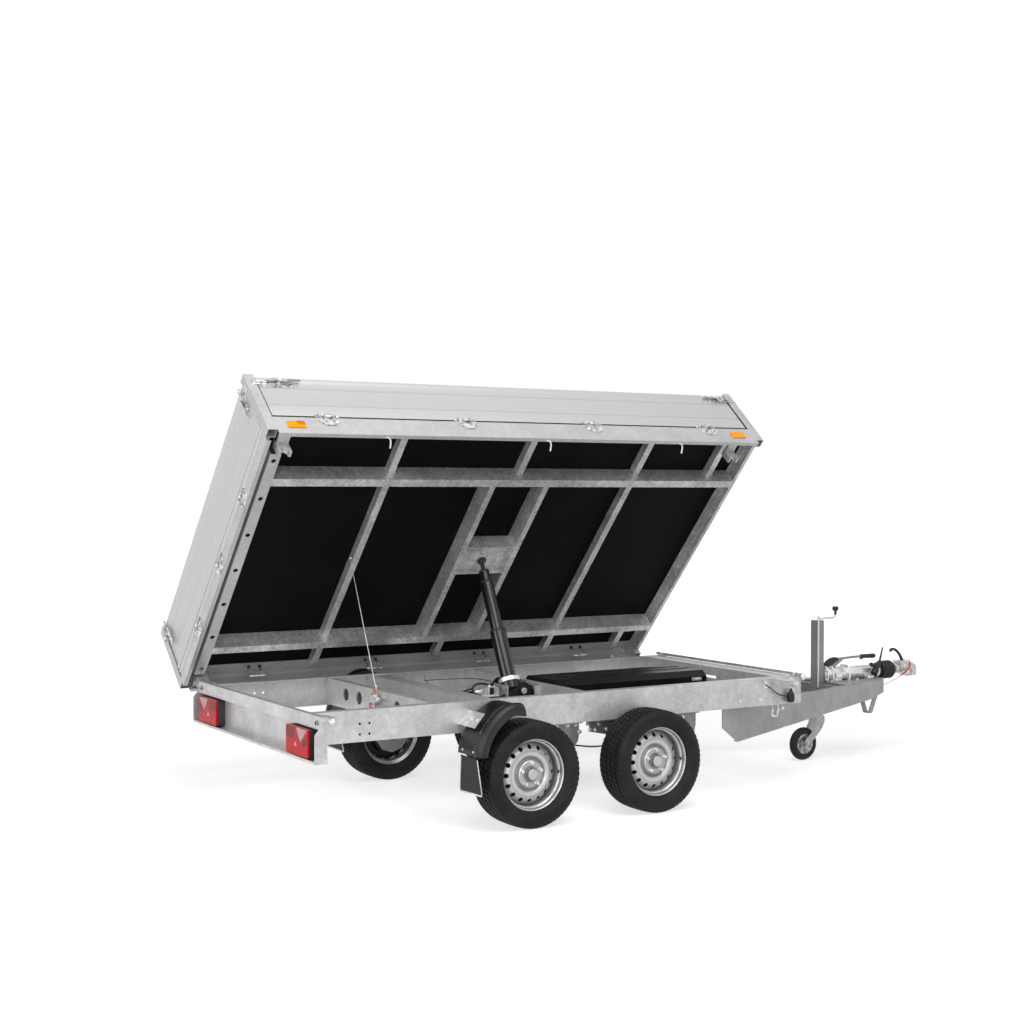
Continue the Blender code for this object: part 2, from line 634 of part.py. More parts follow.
# Torsion axles: tube, support plates bolted under the beams, trailing arms, brake plates, spindles
def axle_shape(hub_x):
    tube_x = hub_x + AXLE_TUBE_AHEAD
    half = AXLE_TUBE / 2
    top = BEAM_BOTTOM - GAP
    low = top - SUPPORT_DROP
    tube = block((tube_x - half, tube_x + half), (-SUPPORT_Y + 0.003, SUPPORT_Y - 0.003),
                 (AXLE_TUBE_Z - half, AXLE_TUBE_Z + half))
    rear, front = hub_x - SUPPORT_REAR, hub_x + SUPPORT_FRONT
    outline = [(rear, top), (rear, top - 0.060), *arc((tube_x - 0.060, low + 0.040), 0.040, 235, 270, 2),
               *arc((front - 0.060, low + 0.060), 0.060, 270, 360, 3), (front, top)]
    plate_shape = plate(outline, "XZ", -SUPPORT_Y, -SUPPORT_Y + 0.006)
    flange = block((rear + 0.001, front - 0.001), (-SUPPORT_Y + 0.001, -BEAM_Y + SHEET), (top - 0.006, top))
    hub = (hub_x, TYRE_RADIUS)
    pivot = (tube_x, AXLE_TUBE_Z)
    slope = math.degrees(math.atan2(pivot[1] - hub[1], pivot[0] - hub[0]))
    arm_outline = arc(hub, 0.034, slope + 90, slope + 270, 3) + arc(pivot, 0.044, slope - 90, slope + 90, 4)
    arm = plate(arm_outline, "XZ", -0.630, -SUPPORT_Y + 0.002)
    boss = rod((hub_x, -0.620, TYRE_RADIUS), (hub_x, -0.675, TYRE_RADIUS), 0.030, sides=8)
    brake = rod((hub_x, -0.671, TYRE_RADIUS), (hub_x, -0.689, TYRE_RADIUS), 0.104, sides=10)
    spindle = rod((hub_x, -0.660, TYRE_RADIUS), (hub_x, -0.750, TYRE_RADIUS), SPINDLE_RADIUS, sides=8)
    near = fused(plate_shape, flange, arm, boss, brake, spindle)
    far = mirrored(near)
    return fused(tube, near, far)


finished(axle_shape(REAR_AXLE_X), "axle_rear", GALVANISED)
finished(axle_shape(FRONT_AXLE_X), "axle_front", GALVANISED)


# Drawbar: two flanged plates that run together from under the side beams to the nose
DRAWBAR_SLOPE = (DRAWBAR_ROOT[1] - DRAWBAR_NOSE[1]) / (DRAWBAR_NOSE[0] - DRAWBAR_ROOT[0])
DRAWBAR_ANGLE = math.atan(DRAWBAR_SLOPE)
DRAWBAR_LENGTH = math.hypot(DRAWBAR_NOSE[0] - DRAWBAR_ROOT[0], DRAWBAR_ROOT[1] - DRAWBAR_NOSE[1])


def drawbar_inside(x):
    """Half the clear width between the drawbar plates at x."""
    return DRAWBAR_ROOT[1] - DRAWBAR_SLOPE * (x - DRAWBAR_ROOT[0]) - SHEET / math.cos(DRAWBAR_ANGLE)


def drawbar_shape():
    """Near plate, drawn along its own length with its outer face at depth 0 and its inside at -SHEET."""
    along = Vector((math.cos(DRAWBAR_ANGLE), math.sin(DRAWBAR_ANGLE), 0.0))
    outward = Vector((along.y, -along.x, 0.0))
    frame = Matrix((
        (along.x, 0.0, outward.x, DRAWBAR_ROOT[0]), (along.y, 0.0, outward.y, -DRAWBAR_ROOT[1]),
        (0.0, 1.0, 0.0, 0.0), (0.0, 0.0, 0.0, 1.0)))
    length = DRAWBAR_LENGTH
    top = DRAWBAR_TOP
    web = plate([(0.0, top), (0.0, 0.364), (0.151, 0.270), (length - 0.151, 0.353), (length, 0.381),
                 (length, top)], frame, -SHEET, 0.0)
    inner = -DRAWBAR_FLANGE
    upper = plate([(0.02, top - SHEET), (length - 0.02, top - SHEET), (length - 0.02, top), (0.02, top)],
                  frame, inner, -SHEET / 2)
    lower = plate([(0.160, 0.2705), (length - 0.160, 0.3525), (length - 0.160, 0.3565), (0.160, 0.2745)],
                  frame, inner, -SHEET / 2)
    return fused(web, upper, lower)


near_drawbar = drawbar_shape()
finished(mirrored(near_drawbar), "drawbar_far", GALVANISED)
finished(near_drawbar, "drawbar_near", GALVANISED)


# Drawbar nose: mounting plate over both flanges, a cross web and the V skid below
NOSE_PLATE = (DRAWBAR_TOP + GAP, DRAWBAR_TOP + GAP + 0.006)
SKID_X = (2.600, 2.632)


def nose_shape():
    rear, front = OVERRUN_X[0], DRAWBAR_NOSE[0] - 0.004
    deck = plate([(rear, -drawbar_inside(rear)), (front, -drawbar_inside(front)),
                  (front, drawbar_inside(front)), (rear, drawbar_inside(rear))], "XY", *NOSE_PLATE)
    reach = drawbar_inside(SKID_X[1]) - GAP
    web_top = NOSE_PLATE[0] + 0.002
    web_reach = drawbar_inside(SKID_X[1]) - DRAWBAR_FLANGE
    web = block((SKID_X[0] + 0.012, SKID_X[0] + 0.018), (-web_reach, web_reach), (0.395, web_top))
    outer = [(-reach, 0.400), (-reach, 0.385), (-0.024, 0.250), (0.024, 0.250),
             (reach, 0.385), (reach, 0.400)]
    inner = [(0.018, 0.257), (-0.018, 0.257)]
    skid = plate([*outer, (reach - 0.008, 0.400), (reach - 0.008, 0.388), *inner,
                  (-reach + 0.008, 0.388), (-reach + 0.008, 0.400)], "YZ", *SKID_X)
    bridge = block((SKID_X[0] + 0.010, SKID_X[0] + 0.020), (-reach + 0.001, reach - 0.001), (0.386, 0.399))
    return fused(deck, web, skid, bridge)


finished(nose_shape(), "drawbar_nose", GALVANISED)


# Overrun housing, bellows, coupling head with its cup, handle and handbrake
def along_x(profile, segments):
    """Turn a profile of (radius, x) about the coupling's line."""
    return laid(turned(profile, segments), (1, 0, 0), (0.0, 0.0, OVERRUN_Z))


def overrun_shape():
    start, step, end = OVERRUN_X
    bore = NECK_RADIUS + SLIDE_PLAY
    wide, narrow = HOUSING_RADIUS
    body = along_x([(0.0, end - 0.050), (bore, end - 0.050), (bore, end), (narrow, end),
                    (narrow, step), (wide, step), (wide, start + 0.060), (0.036, start + 0.050),
                    (0.036, start), (0.0, start)], HOUSING_SIDES)
    feet = [block((x, x + 0.055), (-0.050, 0.050), (NOSE_PLATE[1] + GAP, OVERRUN_Z - 0.020))
            for x in (start + 0.070, end - 0.120)]
    flange = block((step - 0.016, step - 0.004), (-0.058, 0.058), (NOSE_PLATE[1] + GAP, OVERRUN_Z + 0.055))
    return fused(body, *feet, flange)


finished(overrun_shape(), "overrun_housing", ZINC, smooth=True)


def bellows_shape():
    start, end = OVERRUN_X[2] + GAP, BELLOWS_END
    folds = 4
    pitch = (end - start) / folds
    profile = [(0.031, start)]
    for fold in range(folds):
        left = start + fold * pitch
        profile += [(0.044, left + pitch * 0.05), (0.058, left + pitch * 0.5)]
    profile += [(0.044, end), (0.031, end)]
    return laid(turned(profile, 12, closed=True), (1, 0, 0), (0.0, 0.0, OVERRUN_Z))


finished(bellows_shape(), "bellows", BLACK_PLASTIC, smooth=True)


def coupling_shape():
    neck = rod((OVERRUN_X[2] - 0.040, 0, OVERRUN_Z), (2.880, 0, OVERRUN_Z), NECK_RADIUS)
    outline = [(2.845, 0.483), (2.845, 0.541), (2.905, 0.556), (2.980, 0.556),
               (COUPLING_TIP - 0.008, 0.536), (COUPLING_TIP, 0.505), (COUPLING_TIP, 0.462),
               (2.935, 0.462), (2.905, 0.478)]
    head = plate(outline, "XZ", -0.041, 0.041)
    soften = head.modifiers.new("soften", "BEVEL")
    soften.width = 0.006
    soften.segments = 1
    head = baked(head)
    cup = rod((BALL_CUP_X, 0, 0.440), (BALL_CUP_X, 0, BALL_CUP_ROOF), BALL_CUP_RADIUS, sides=16)
    return cut(fused(head, neck), cup)


finished(coupling_shape(), "coupling_head", ZINC)

handle_line = [(2.925, 0.0, 0.5685), (2.921, 0.0, 0.590), (2.900, 0.0, 0.618),
               (2.870, 0.0, 0.638), (2.840, 0.0, 0.644), (2.815, 0.0, 0.638)]
handle_foot = block((2.905, 2.950), (-0.012, 0.012), (0.5563, 0.578))
finished(fused(wire(handle_line, 0.011), handle_foot), "coupling_handle", BLACK_PLASTIC)

LEVER_Y = (-0.016, 0.016)
foot = OVERRUN_Z + HOUSING_RADIUS[0] + GAP
quadrant = plate([(2.262, foot), (2.262, 0.596), *arc((2.320, 0.578), 0.044, 150, 60, 4), (2.395, 0.610),
                  (2.395, 0.594), (2.330, foot)], "XZ", *LEVER_Y)
lever = rod((2.375, 0, 0.602), (2.565, 0, 0.606), 0.008, sides=8)
grip = rod((2.552, 0, 0.606), (2.676, 0, 0.603), 0.0145, sides=10)
finished(fused(quadrant, lever, grip), "handbrake_lever", BLACK_PLASTIC)


# Jockey wheel: fixed post in a bracket, sliding leg, swivelling fork and wheel
def post_shape():
    half = JOCKEY_POST / 2
    low, high = JOCKEY_POST_Z
    tube = block((JOCKEY_X - half, JOCKEY_X + half), (-half, half), (low, high))
    rear, front = JOCKEY_X - 0.018, JOCKEY_X + 0.018
    bar = plate([(rear, -drawbar_inside(rear) + GAP), (front, -drawbar_inside(front) + GAP),
                 (front, drawbar_inside(front) - GAP), (rear, drawbar_inside(rear) - GAP)],
                "XY", low + 0.005, DRAWBAR_TOP - SHEET - 0.002)
    hollow = JOCKEY_LEG / 2 + PIN_PLAY
    bore = block((JOCKEY_X - hollow, JOCKEY_X + hollow), (-hollow, hollow), (low - 0.02, high - 0.006))
    return cut(fused(tube, bar), bore)


finished(post_shape(), "jockey_post", GALVANISED)

CRANK_ROD = 0.0055
CRANK_ARM = 0.140
crank_x, crank_y = JOCKEY_X - JOCKEY_POST / 2 + CRANK_ROD, -JOCKEY_POST / 2 - CRANK_ROD - GAP
crank_top = JOCKEY_POST_Z[1] + 0.016
handle_x = crank_x + CRANK_ARM
crank = wire([(crank_x, crank_y, 0.470), (crank_x, crank_y, crank_top),
              (handle_x, crank_y, crank_top + 0.006), (handle_x, crank_y, crank_top + 0.030)], CRANK_ROD)
knob = rod((handle_x, crank_y, crank_top + 0.020), (handle_x, crank_y, crank_top + 0.070), 0.009,
           sides=10, end_radius=0.019)
finished(fused(crank, knob), "jockey_crank", ZINC)

JOCKEY = joint_frame("jockey_leg_slide", (JOCKEY_X, 0.0, JOCKEY_POST_Z[0]), DATUM[0])
FORK_TOP = 0.266
leg_half = JOCKEY_LEG / 2
leg = block((JOCKEY_X - leg_half, JOCKEY_X + leg_half), (-leg_half, leg_half), (FORK_TOP + GAP, 0.700))
swivel_bore = rod((JOCKEY_X, 0, FORK_TOP - 0.01), (JOCKEY_X, 0, FORK_TOP + SWIVEL_PIN[1] + 0.003),
                  SWIVEL_PIN[0] + PIN_PLAY)
finished(cut(leg, swivel_bore), "jockey_leg", ZINC, JOCKEY)

FORK = joint_frame("jockey_swivel", (JOCKEY_X, 0.0, FORK_TOP), JOCKEY[0], JOCKEY[1])


def fork_shape():
    wheel_x, wheel_z = JOCKEY_X - JOCKEY_TRAIL, JOCKEY_WHEEL_RADIUS
    half = JOCKEY_WHEEL_WIDTH / 2 + 0.006
    cheek = [(JOCKEY_X + 0.030, FORK_TOP), (JOCKEY_X - 0.030, FORK_TOP),
             (JOCKEY_X - 0.036, FORK_TOP - 0.030), (wheel_x - 0.012, wheel_z + 0.020),
             *arc((wheel_x, wheel_z), 0.016, 150, 300, 4),
             (JOCKEY_X - 0.035, 0.150), (JOCKEY_X + 0.022, FORK_TOP - 0.035)]
    near = plate(cheek, "XZ", -half - SHEET, -half)
    far = plate(cheek, "XZ", half, half + SHEET)
    bridge = block((JOCKEY_X - 0.029, JOCKEY_X + 0.029), (-half - 0.002, half + 0.002),
                   (FORK_TOP - 0.009, FORK_TOP - 0.001))
    pin = rod((wheel_x, -half - 0.008, wheel_z), (wheel_x, half + 0.008, wheel_z), JOCKEY_PIN, sides=8)
    pivot = rod((JOCKEY_X, 0, FORK_TOP - 0.005), (JOCKEY_X, 0, FORK_TOP + SWIVEL_PIN[1]), SWIVEL_PIN[0])
    return fused(near, far, bridge, pin, pivot)


finished(fork_shape(), "jockey_fork", ZINC, FORK)

jockey_centre = (JOCKEY_X - JOCKEY_TRAIL, 0.0, JOCKEY_WHEEL_RADIUS)
JOCKEY_SPIN = joint_frame("jockey_spin", jockey_centre, FORK[0], FORK[1])
half = JOCKEY_WHEEL_WIDTH / 2
jockey_profile = [
    (JOCKEY_PIN + PIN_PLAY, -half - 0.004), (0.014, -half - 0.004), (0.018, -half + 0.012),
    (0.054, -half + 0.012), (0.060, -half), (0.100, -half + 0.010)]
jockey_profile += [(radius, -height) for radius, height in jockey_profile[::-1]]
jockey_wheel = laid(turned(jockey_profile, 12, closed=True), (0, 1, 0), jockey_centre)
finished(jockey_wheel, "jockey_wheel", TYRE_RUBBER, JOCKEY_SPIN, smooth=True)


# Tail lamps in the rear beam's recess
def lamp_shape():
    back = REAR_FACE + REAR_DEPTH - SHEET - GAP
    y = (-0.765, -0.492)
    z = (REAR_BOTTOM + 0.016, BEAM_TOP - REAR_STRIP - 0.002)
    housing = block((REAR_FACE + 0.002, back), y, z)
    lens = block((REAR_FACE - 0.028, REAR_FACE + 0.004), (y[0] + 0.004, y[1] - 0.040),
                 (z[0] + 0.004, z[1] - 0.004))
    soften = lens.modifiers.new("soften", "BEVEL")
    soften.width = 0.005
    soften.segments = 2
    return fused(housing, baked(lens))


near_lamp = lamp_shape()
finished(mirrored(near_lamp), "tail_lamp_far", LAMP_RED)
finished(near_lamp, "tail_lamp_near", LAMP_RED)


# Mudguards: a lipped arch over the back of each rear wheel, its skirt and its flap
def guard_shape():
    near, far = -GUARD_Y[1], -GUARD_Y[0]
    centre_x, centre_z = GUARD_CENTRE
    lip_radius, inner = GUARD_RADIUS - 0.030, GUARD_RADIUS - SHEET
    section = [(near, lip_radius), (near, GUARD_RADIUS), (far, GUARD_RADIUS), (far, inner),
               (near + SHEET, inner), (near + SHEET, lip_radius)]
    work = bmesh.new()
    start = Vector((math.cos(GUARD_START), math.sin(GUARD_START)))
    corners = [work.verts.new((centre_x + radius * start.x, y, centre_z + radius * start.y))
               for y, radius in section]
    face = work.faces.new(corners)
    bmesh.ops.spin(work, geom=[face, *face.edges, *face.verts], cent=(centre_x, 0.0, centre_z),
                   axis=(0, -1, 0), angle=math.pi - GUARD_START, steps=10, use_duplicate=False)
    arch = from_bmesh(work)
    outer = centre_x - GUARD_RADIUS
    skirt = block((outer, outer + SHEET), (near, far), (0.345, centre_z + 0.002))
    lip = block((outer + 0.001, outer + 0.030), (near, near + SHEET), (0.345, centre_z + 0.002))
    flap = block((outer - 0.0015, outer + 0.0055), (near + 0.006, far - 0.006), (FLAP_BOTTOM, 0.365))
    return fused(arch, skirt, lip, flap)


near_guard = guard_shape()
finished(mirrored(near_guard), "mudguard_far", BLACK_PLASTIC)
finished(near_guard, "mudguard_near", BLACK_PLASTIC)


# Lift cylinder: barrel in the gimbal ring and three telescopic stages, drawn upright
LIFT = joint_frame("lift_trunnion", (0.0, 0.0, TRUNNION_Z), DATUM[0], turn=(-LIFT_ANGLE, 0.0, 0.0))


def lift_piece(profile, sides):
    return laid(turned(profile[::-1], sides), (0, 0, 1), (0.0, 0.0, TRUNNION_Z))


def barrel_shape():
    bore = STAGES[0][0] + SLIDE_PLAY
    profile = [(0.0, BARREL_BOTTOM), (BARREL_RADIUS, BARREL_BOTTOM), (BARREL_RADIUS, BARREL_TOP - 0.022),
               (BARREL_RADIUS + 0.007, BARREL_TOP - 0.020), (BARREL_RADIUS + 0.007, BARREL_TOP - 0.002),
               (BARREL_RADIUS + 0.005, BARREL_TOP), (bore, BARREL_TOP), (bore, BARREL_BOTTOM + 0.012),
               (0.0, BARREL_BOTTOM + 0.012)]
    barrel = lift_piece(profile, 16)
    pins = [rod((side * (BARREL_RADIUS - 0.004), 0, TRUNNION_Z), (side * (RING_X - 0.001), 0, TRUNNION_Z),
                TRUNNION_PIN, sides=8) for side in (-1, 1)]
    return fused(barrel, *pins)


finished(barrel_shape(), "lift_barrel", BLACK_PAINT, LIFT, smooth=True)

stage_frame = LIFT
for number, (radius, low, high) in enumerate(STAGES, start=1):
    place = (0.0, 0.0, TRUNNION_Z + low)
    stage_frame = joint_frame(f"lift_stage_{number}_slide", place, stage_frame[0], stage_frame[1])
    if high is None:
        top = LIFT_LENGTH - HEAD_BALL * 0.8
        profile = [(0.0, low), (radius, low), (radius, top - 0.045), (0.012, top - 0.035),
                   (0.012, top), (0.0, top)]
        stage = lift_piece(profile, 16)
        stage = fused(stage, ball((0.0, 0.0, TRUNNION_Z + LIFT_LENGTH), HEAD_BALL))
    else:
        next_radius = STAGES[number][0]
        profile = [(0.0, low), (radius, low), (radius, high - 0.012), (radius + 0.0005, high - 0.012),
                   (radius + 0.0005, high), (next_radius + SLIDE_PLAY, high),
                   (next_radius + SLIDE_PLAY, low + 0.010), (0.0, low + 0.010)]
        stage = lift_piece(profile, 16)
    finished(stage, f"lift_stage_{number}", LIFT_STEEL, stage_frame, smooth=True)


# Bed frame. Each rim is a C section with a ledge under the floor; the rear one is folded on into a
# holed channel
def rear_rim_section():
    """Section in XZ: outer rim, link behind the tailgate, channel under the floor."""
    def at(depth):
        return BED_REAR + depth
    low, sheet, top = RIM_BOTTOM, RIM_SHEET, REAR_RIM_TOP
    first, last = END_CHANNEL
    return [
        (at(0), low), (at(RIM_FLANGE), low), (at(RIM_FLANGE), low + sheet), (at(sheet), low + sheet),
        (at(sheet), top - SHEET), (at(first), top - SHEET), (at(first), low), (at(last), low),
        (at(last), RIM_TOP), (at(last - SHEET), RIM_TOP), (at(last - SHEET), low + SHEET),
        (at(first + SHEET), low + SHEET), (at(first + SHEET), RIM_TOP), (at(first), RIM_TOP),
        (at(first), top), (at(0), top)]


def rim_section(face, low, flange, ledge):
    """C section of a rim whose outer face is at face, as (across, up)."""
    inward = -math.copysign(1.0, face)
    sheet, top = RIM_SHEET, RIM_TOP
    corners = [(0, low), (flange, low), (flange, low + sheet), (sheet, low + sheet), (sheet, top - sheet),
               (ledge, top - sheet), (ledge, top), (0, top)]
    return [(face + inward * depth, z) for depth, z in corners]


def hinge_lugs(middle, face, hinge_rim_top, along_x):
    """Pair of lugs that carry one hinge knuckle outboard of a rim's face."""
    height = [hinge_rim_top + offset for offset in LUG_OVER_RIM]
    reach = (face - HINGE_OUT - KNUCKLE_RADIUS, face + 0.001)
    pairs = [sorted((middle + side * LUG[0], middle + side * LUG[1])) for side in (-1, 1)]
    return [block(pair, reach, height) if along_x else block(reach, pair, height) for pair in pairs]


def rear_rim():
    reach = BED_HALF_WIDTH - POST - GAP
    rim = plate(rear_rim_section(), "XZ", -reach, reach)
    middle = BED_REAR + (END_CHANNEL[0] + END_CHANNEL[1]) / 2
    holes = [rod((middle, number * END_HOLE_SPACING, RIM_BOTTOM - 0.01),
                 (middle, number * END_HOLE_SPACING, RIM_BOTTOM + 0.01), END_HOLE_RADIUS, sides=6)
             for number in range(-3, 4)]
    across = (BED_REAR + END_CHANNEL[0] - GAP, BED_REAR + END_CHANNEL[1] + 0.007)
    ends = [block(across, sorted((side * CHANNEL_END, side * (reach + 0.01))), (RIM_BOTTOM - 0.01, RIM_TOP + 0.01))
            for side in (-1, 1)]
    rim = cut(rim, together(holes), together(ends))
    lugs = [lug for y in TAILGATE_HINGE_Y for lug in hinge_lugs(y, BED_REAR, REAR_RIM_TOP, False)]
    return fused(rim, together(lugs))


finished(rear_rim(), "bed_rim_rear", GALVANISED, BED)
reach = BED_HALF_WIDTH - POST - GAP
front_section = rim_section(BED_FRONT, FRONT_RIM_BOTTOM, RIM_FLANGE, FRONT_RIM_LEDGE)
finished(plate(front_section, "XZ", -reach, reach), "bed_rim_front", GALVANISED, BED)


# Side rims with the ball sockets that hold and locate the bed, and the board hinge lugs
def socket_shape(x):
    """Saddle over a pivot ball, open below and along Y, with its arm to the rim."""
    radius = PIVOT_BALL + 0.001
    side, foot, crown = 0.034, PIVOT_Z - 0.010, 0.660
    notch = arc((x, PIVOT_Z), radius, 180, 0, 6)
    outline = [(x - side, foot), (x - radius, foot), *notch, (x + radius, foot), (x + side, foot),
               (x + side, crown), (x - side, crown)]
    saddle = plate(outline, "XZ", -PIVOT_Y - 0.016, -PIVOT_Y + 0.016)
    arm = block((x - 0.030, x + 0.030), (-BED_HALF_WIDTH + 0.001, -PIVOT_Y + 0.010), (0.642, 0.658))
    return fused(saddle, arm)


def side_rim():
    rear, front = BED_REAR + POST + GAP, BED_FRONT - POST - GAP
    rim = plate(rim_section(-BED_HALF_WIDTH, RIM_BOTTOM, RIM_FLANGE, RIM_LEDGE), "YZ", rear, front)
    lugs = [lug for x in SIDE_HINGE_X for lug in hinge_lugs(x, -BED_HALF_WIDTH, RIM_TOP, True)]
    return fused(rim, together(lugs), socket_shape(REAR_PIVOT_X), socket_shape(FRONT_PIVOT_X))


near_rim = side_rim()
finished(mirrored(near_rim), "bed_rim_far", GALVANISED, BED)
finished(near_rim, "bed_rim_near", GALVANISED, BED)


# Floor panel, laid on the rims' ledges inside the boards and notched round the posts
def floor_shape():
    inset, corner = BOARD_SET_IN + BOARD + GAP, POST + GAP
    rear, front, edge = BED_REAR + inset, BED_FRONT - inset, BED_HALF_WIDTH - inset
    panel = block((rear, front), (-edge, edge), (FLOOR_BOTTOM, FLOOR_BOTTOM + FLOOR_THICKNESS))
    notches = []
    for x in ((rear - 0.01, BED_REAR + corner), (BED_FRONT - corner, front + 0.01)):
        for y in ((-edge - 0.01, corner - BED_HALF_WIDTH), (BED_HALF_WIDTH - corner, edge + 0.01)):
            notches.append(block(x, y, (FLOOR_BOTTOM - 0.01, FLOOR_BOTTOM + FLOOR_THICKNESS + 0.01)))
    return cut(panel, together(notches))


finished(floor_shape(), "bed_floor", FLOOR_BLACK, BED)


# Long beams with the short bearers outboard of them, notched where the cross members pass through
BEARER_END = BED_HALF_WIDTH - RIM_LEDGE - GAP


def long_beam(web_y, bearer_end):
    """C section open towards +Y, with bearers from its web to bearer_end."""
    low, top, tip = LONG_BEAM_BOTTOM, FLOOR_BOTTOM - GAP, web_y + LONG_BEAM_FLANGE
    section = [(web_y, low), (tip, low), (tip, low + SHEET), (web_y + SHEET, low + SHEET),
               (web_y + SHEET, top - SHEET), (tip, top - SHEET), (tip, top), (web_y, top)]
    beam = plate(section, "YZ", BED_REAR + END_CHANNEL[1] + GAP, BED_FRONT - FRONT_RIM_LEDGE - GAP)
    notches = [block((x - GAP, x + CROSS_FLANGE + GAP), (web_y - 0.01, tip + 0.01),
                     (CROSS_BOTTOM - GAP, top + 0.01)) for x in CROSS_MEMBER_X]
    reach = sorted((web_y + SHEET / 2, bearer_end))
    bearers = [plate(channel(x, CROSS_FLANGE, 1, CROSS_BOTTOM, top - GAP), "XZ", *reach) for x in STUB_X]
    return fused(cut(beam, together(notches)), *bearers)


finished(long_beam(LONG_BEAM_Y[0], -BEARER_END), "long_beam_near", GALVANISED, BED)
finished(long_beam(LONG_BEAM_Y[1], BEARER_END), "long_beam_far", GALVANISED, BED)

for name, x in zip(("rear", "front"), CROSS_MEMBER_X):
    section = channel(x, CROSS_FLANGE, 1, CROSS_BOTTOM, FLOOR_BOTTOM - GAP)
    finished(plate(section, "XZ", -BEARER_END, BEARER_END), f"cross_member_{name}", GALVANISED, BED)


# Crosshead: two cross channels, the plates between them and the cup over the cylinder's ball
def crosshead_shape():
    near, far = LONG_BEAM_Y[0] + LONG_BEAM_FLANGE + GAP, LONG_BEAM_Y[1] - GAP
    low, top = LONG_BEAM_BOTTOM, FLOOR_BOTTOM - GAP
    rear, front = CROSSHEAD_X
    channels = [plate(channel(x, CROSSHEAD_FLANGE, 1, low, top), "XZ", near, far) for x in CROSSHEAD_X]
    roof_low = HEAD_BALL_Z + HEAD_BALL + GAP
    inside = (rear + 0.002, front + 0.002)
    roof = block(inside, (-CROSSHEAD_HALF - 0.002, CROSSHEAD_HALF + 0.002), (roof_low, roof_low + 2 * SHEET))
    sides = [block(inside, (y - 0.003, y + 0.003), (low + 0.001, top - 0.002))
             for y in (-CROSSHEAD_HALF, CROSSHEAD_HALF)]
    outer = circle((0.0, 0.0), 0.044, 16)
    inner = circle((0.0, 0.0), HEAD_BALL + 0.010, 16)
    cup = plate(outer, "XY", HEAD_BALL_Z - 0.004, roof_low + 0.004, holes=(inner,))
    return fused(*channels, roof, *sides, cup)


finished(crosshead_shape(), "crosshead", GALVANISED, BED)


# Rear corner posts: square tube with open ends
def rear_post():
    x, y = BED_REAR, -BED_HALF_WIDTH
    outer = [(x, y), (x + POST, y), (x + POST, y + POST), (x, y + POST)]
    wall = POST_WALL
    inner = [(x + wall, y + wall), (x + POST - wall, y + wall), (x + POST - wall, y + POST - wall),
             (x + wall, y + POST - wall)]
    return plate(outer, "XY", POST_BOTTOM, POST_TOP, holes=(inner,))


near_post = rear_post()
finished(mirrored(near_post), "post_rear_far", GALVANISED, BED)
finished(near_post, "post_rear_near", GALVANISED, BED)


# Boards: extruded aluminium with two lengthwise grooves, hinge knuckles and corner latches
def board_section(face, outward, bottom):
    """Section (across, up) of a board whose outer face stands at face."""
    def at(depth):
        return face - outward * depth
    section = [(at(0), bottom)]
    for z in GROOVE_Z:
        section += [(at(0), z - 0.004), (at(0.003), z - 0.002), (at(0.003), z + 0.002), (at(0), z + 0.004)]
    section += [(at(0), BOARD_TOP - 0.004), (at(0.004), BOARD_TOP), (at(BOARD - 0.004), BOARD_TOP),
                (at(BOARD), BOARD_TOP - 0.004), (at(BOARD), bottom)]
    return section


# columns: reach out from the board's face and height over the rim, for the knuckle's arm and its leaf
HINGE_ARM = (0.003, (0.0050, 0.0110))
HINGE_LEAF = (0.005, (0.0070, 0.0700))


def side_board():
    rear, front = BED_REAR + POST + BOARD_END_PLAY, BED_FRONT - POST - BOARD_END_PLAY
    face = -BOARD_FACE_Y
    hinge_y = -BED_HALF_WIDTH - HINGE_OUT
    board = plate(board_section(face, -1, RIM_TOP + BOARD_OVER_RIM), "YZ", rear, front)
    arm, leaf = [[RIM_TOP + offset for offset in part[1]] for part in (HINGE_ARM, HINGE_LEAF)]
    extras = []
    for x in SIDE_HINGE_X:
        extras.append(rod((x - 0.020, hinge_y, HINGE_Z), (x + 0.020, hinge_y, HINGE_Z),
                          KNUCKLE_RADIUS, sides=6))
        extras.append(block((x - 0.019, x + 0.019), (hinge_y - 0.002, face + HINGE_ARM[0]), arm))
        extras.append(block((x - 0.018, x + 0.018), (face - HINGE_LEAF[0], face + 0.001), leaf))
    for end, inward in ((rear, 1), (front, -1)):
        body = sorted((end + inward * 0.014, end + inward * 0.200))
        hook = sorted((end - inward * 0.030, end + inward * 0.030))
        extras.append(block(body, (face - 0.022, face + 0.001), (0.995, 1.035)))
        extras.append(block(hook, (face - 0.021, face - 0.0095), (1.000, 1.030)))
    return fused(board, *extras)


HINGE_Y = BED_HALF_WIDTH + HINGE_OUT
NEAR_HINGE = joint_frame("near_board_hinge", (BED_CENTRE_X, -HINGE_Y, HINGE_Z), BED[0], BED[1])
FAR_HINGE = joint_frame("far_board_hinge", (BED_CENTRE_X, HINGE_Y, HINGE_Z), BED[0], BED[1])
near_board = side_board()
finished(mirrored(near_board), "far_board", ALUMINIUM, FAR_HINGE)
finished(near_board, "near_board", ALUMINIUM, NEAR_HINGE)


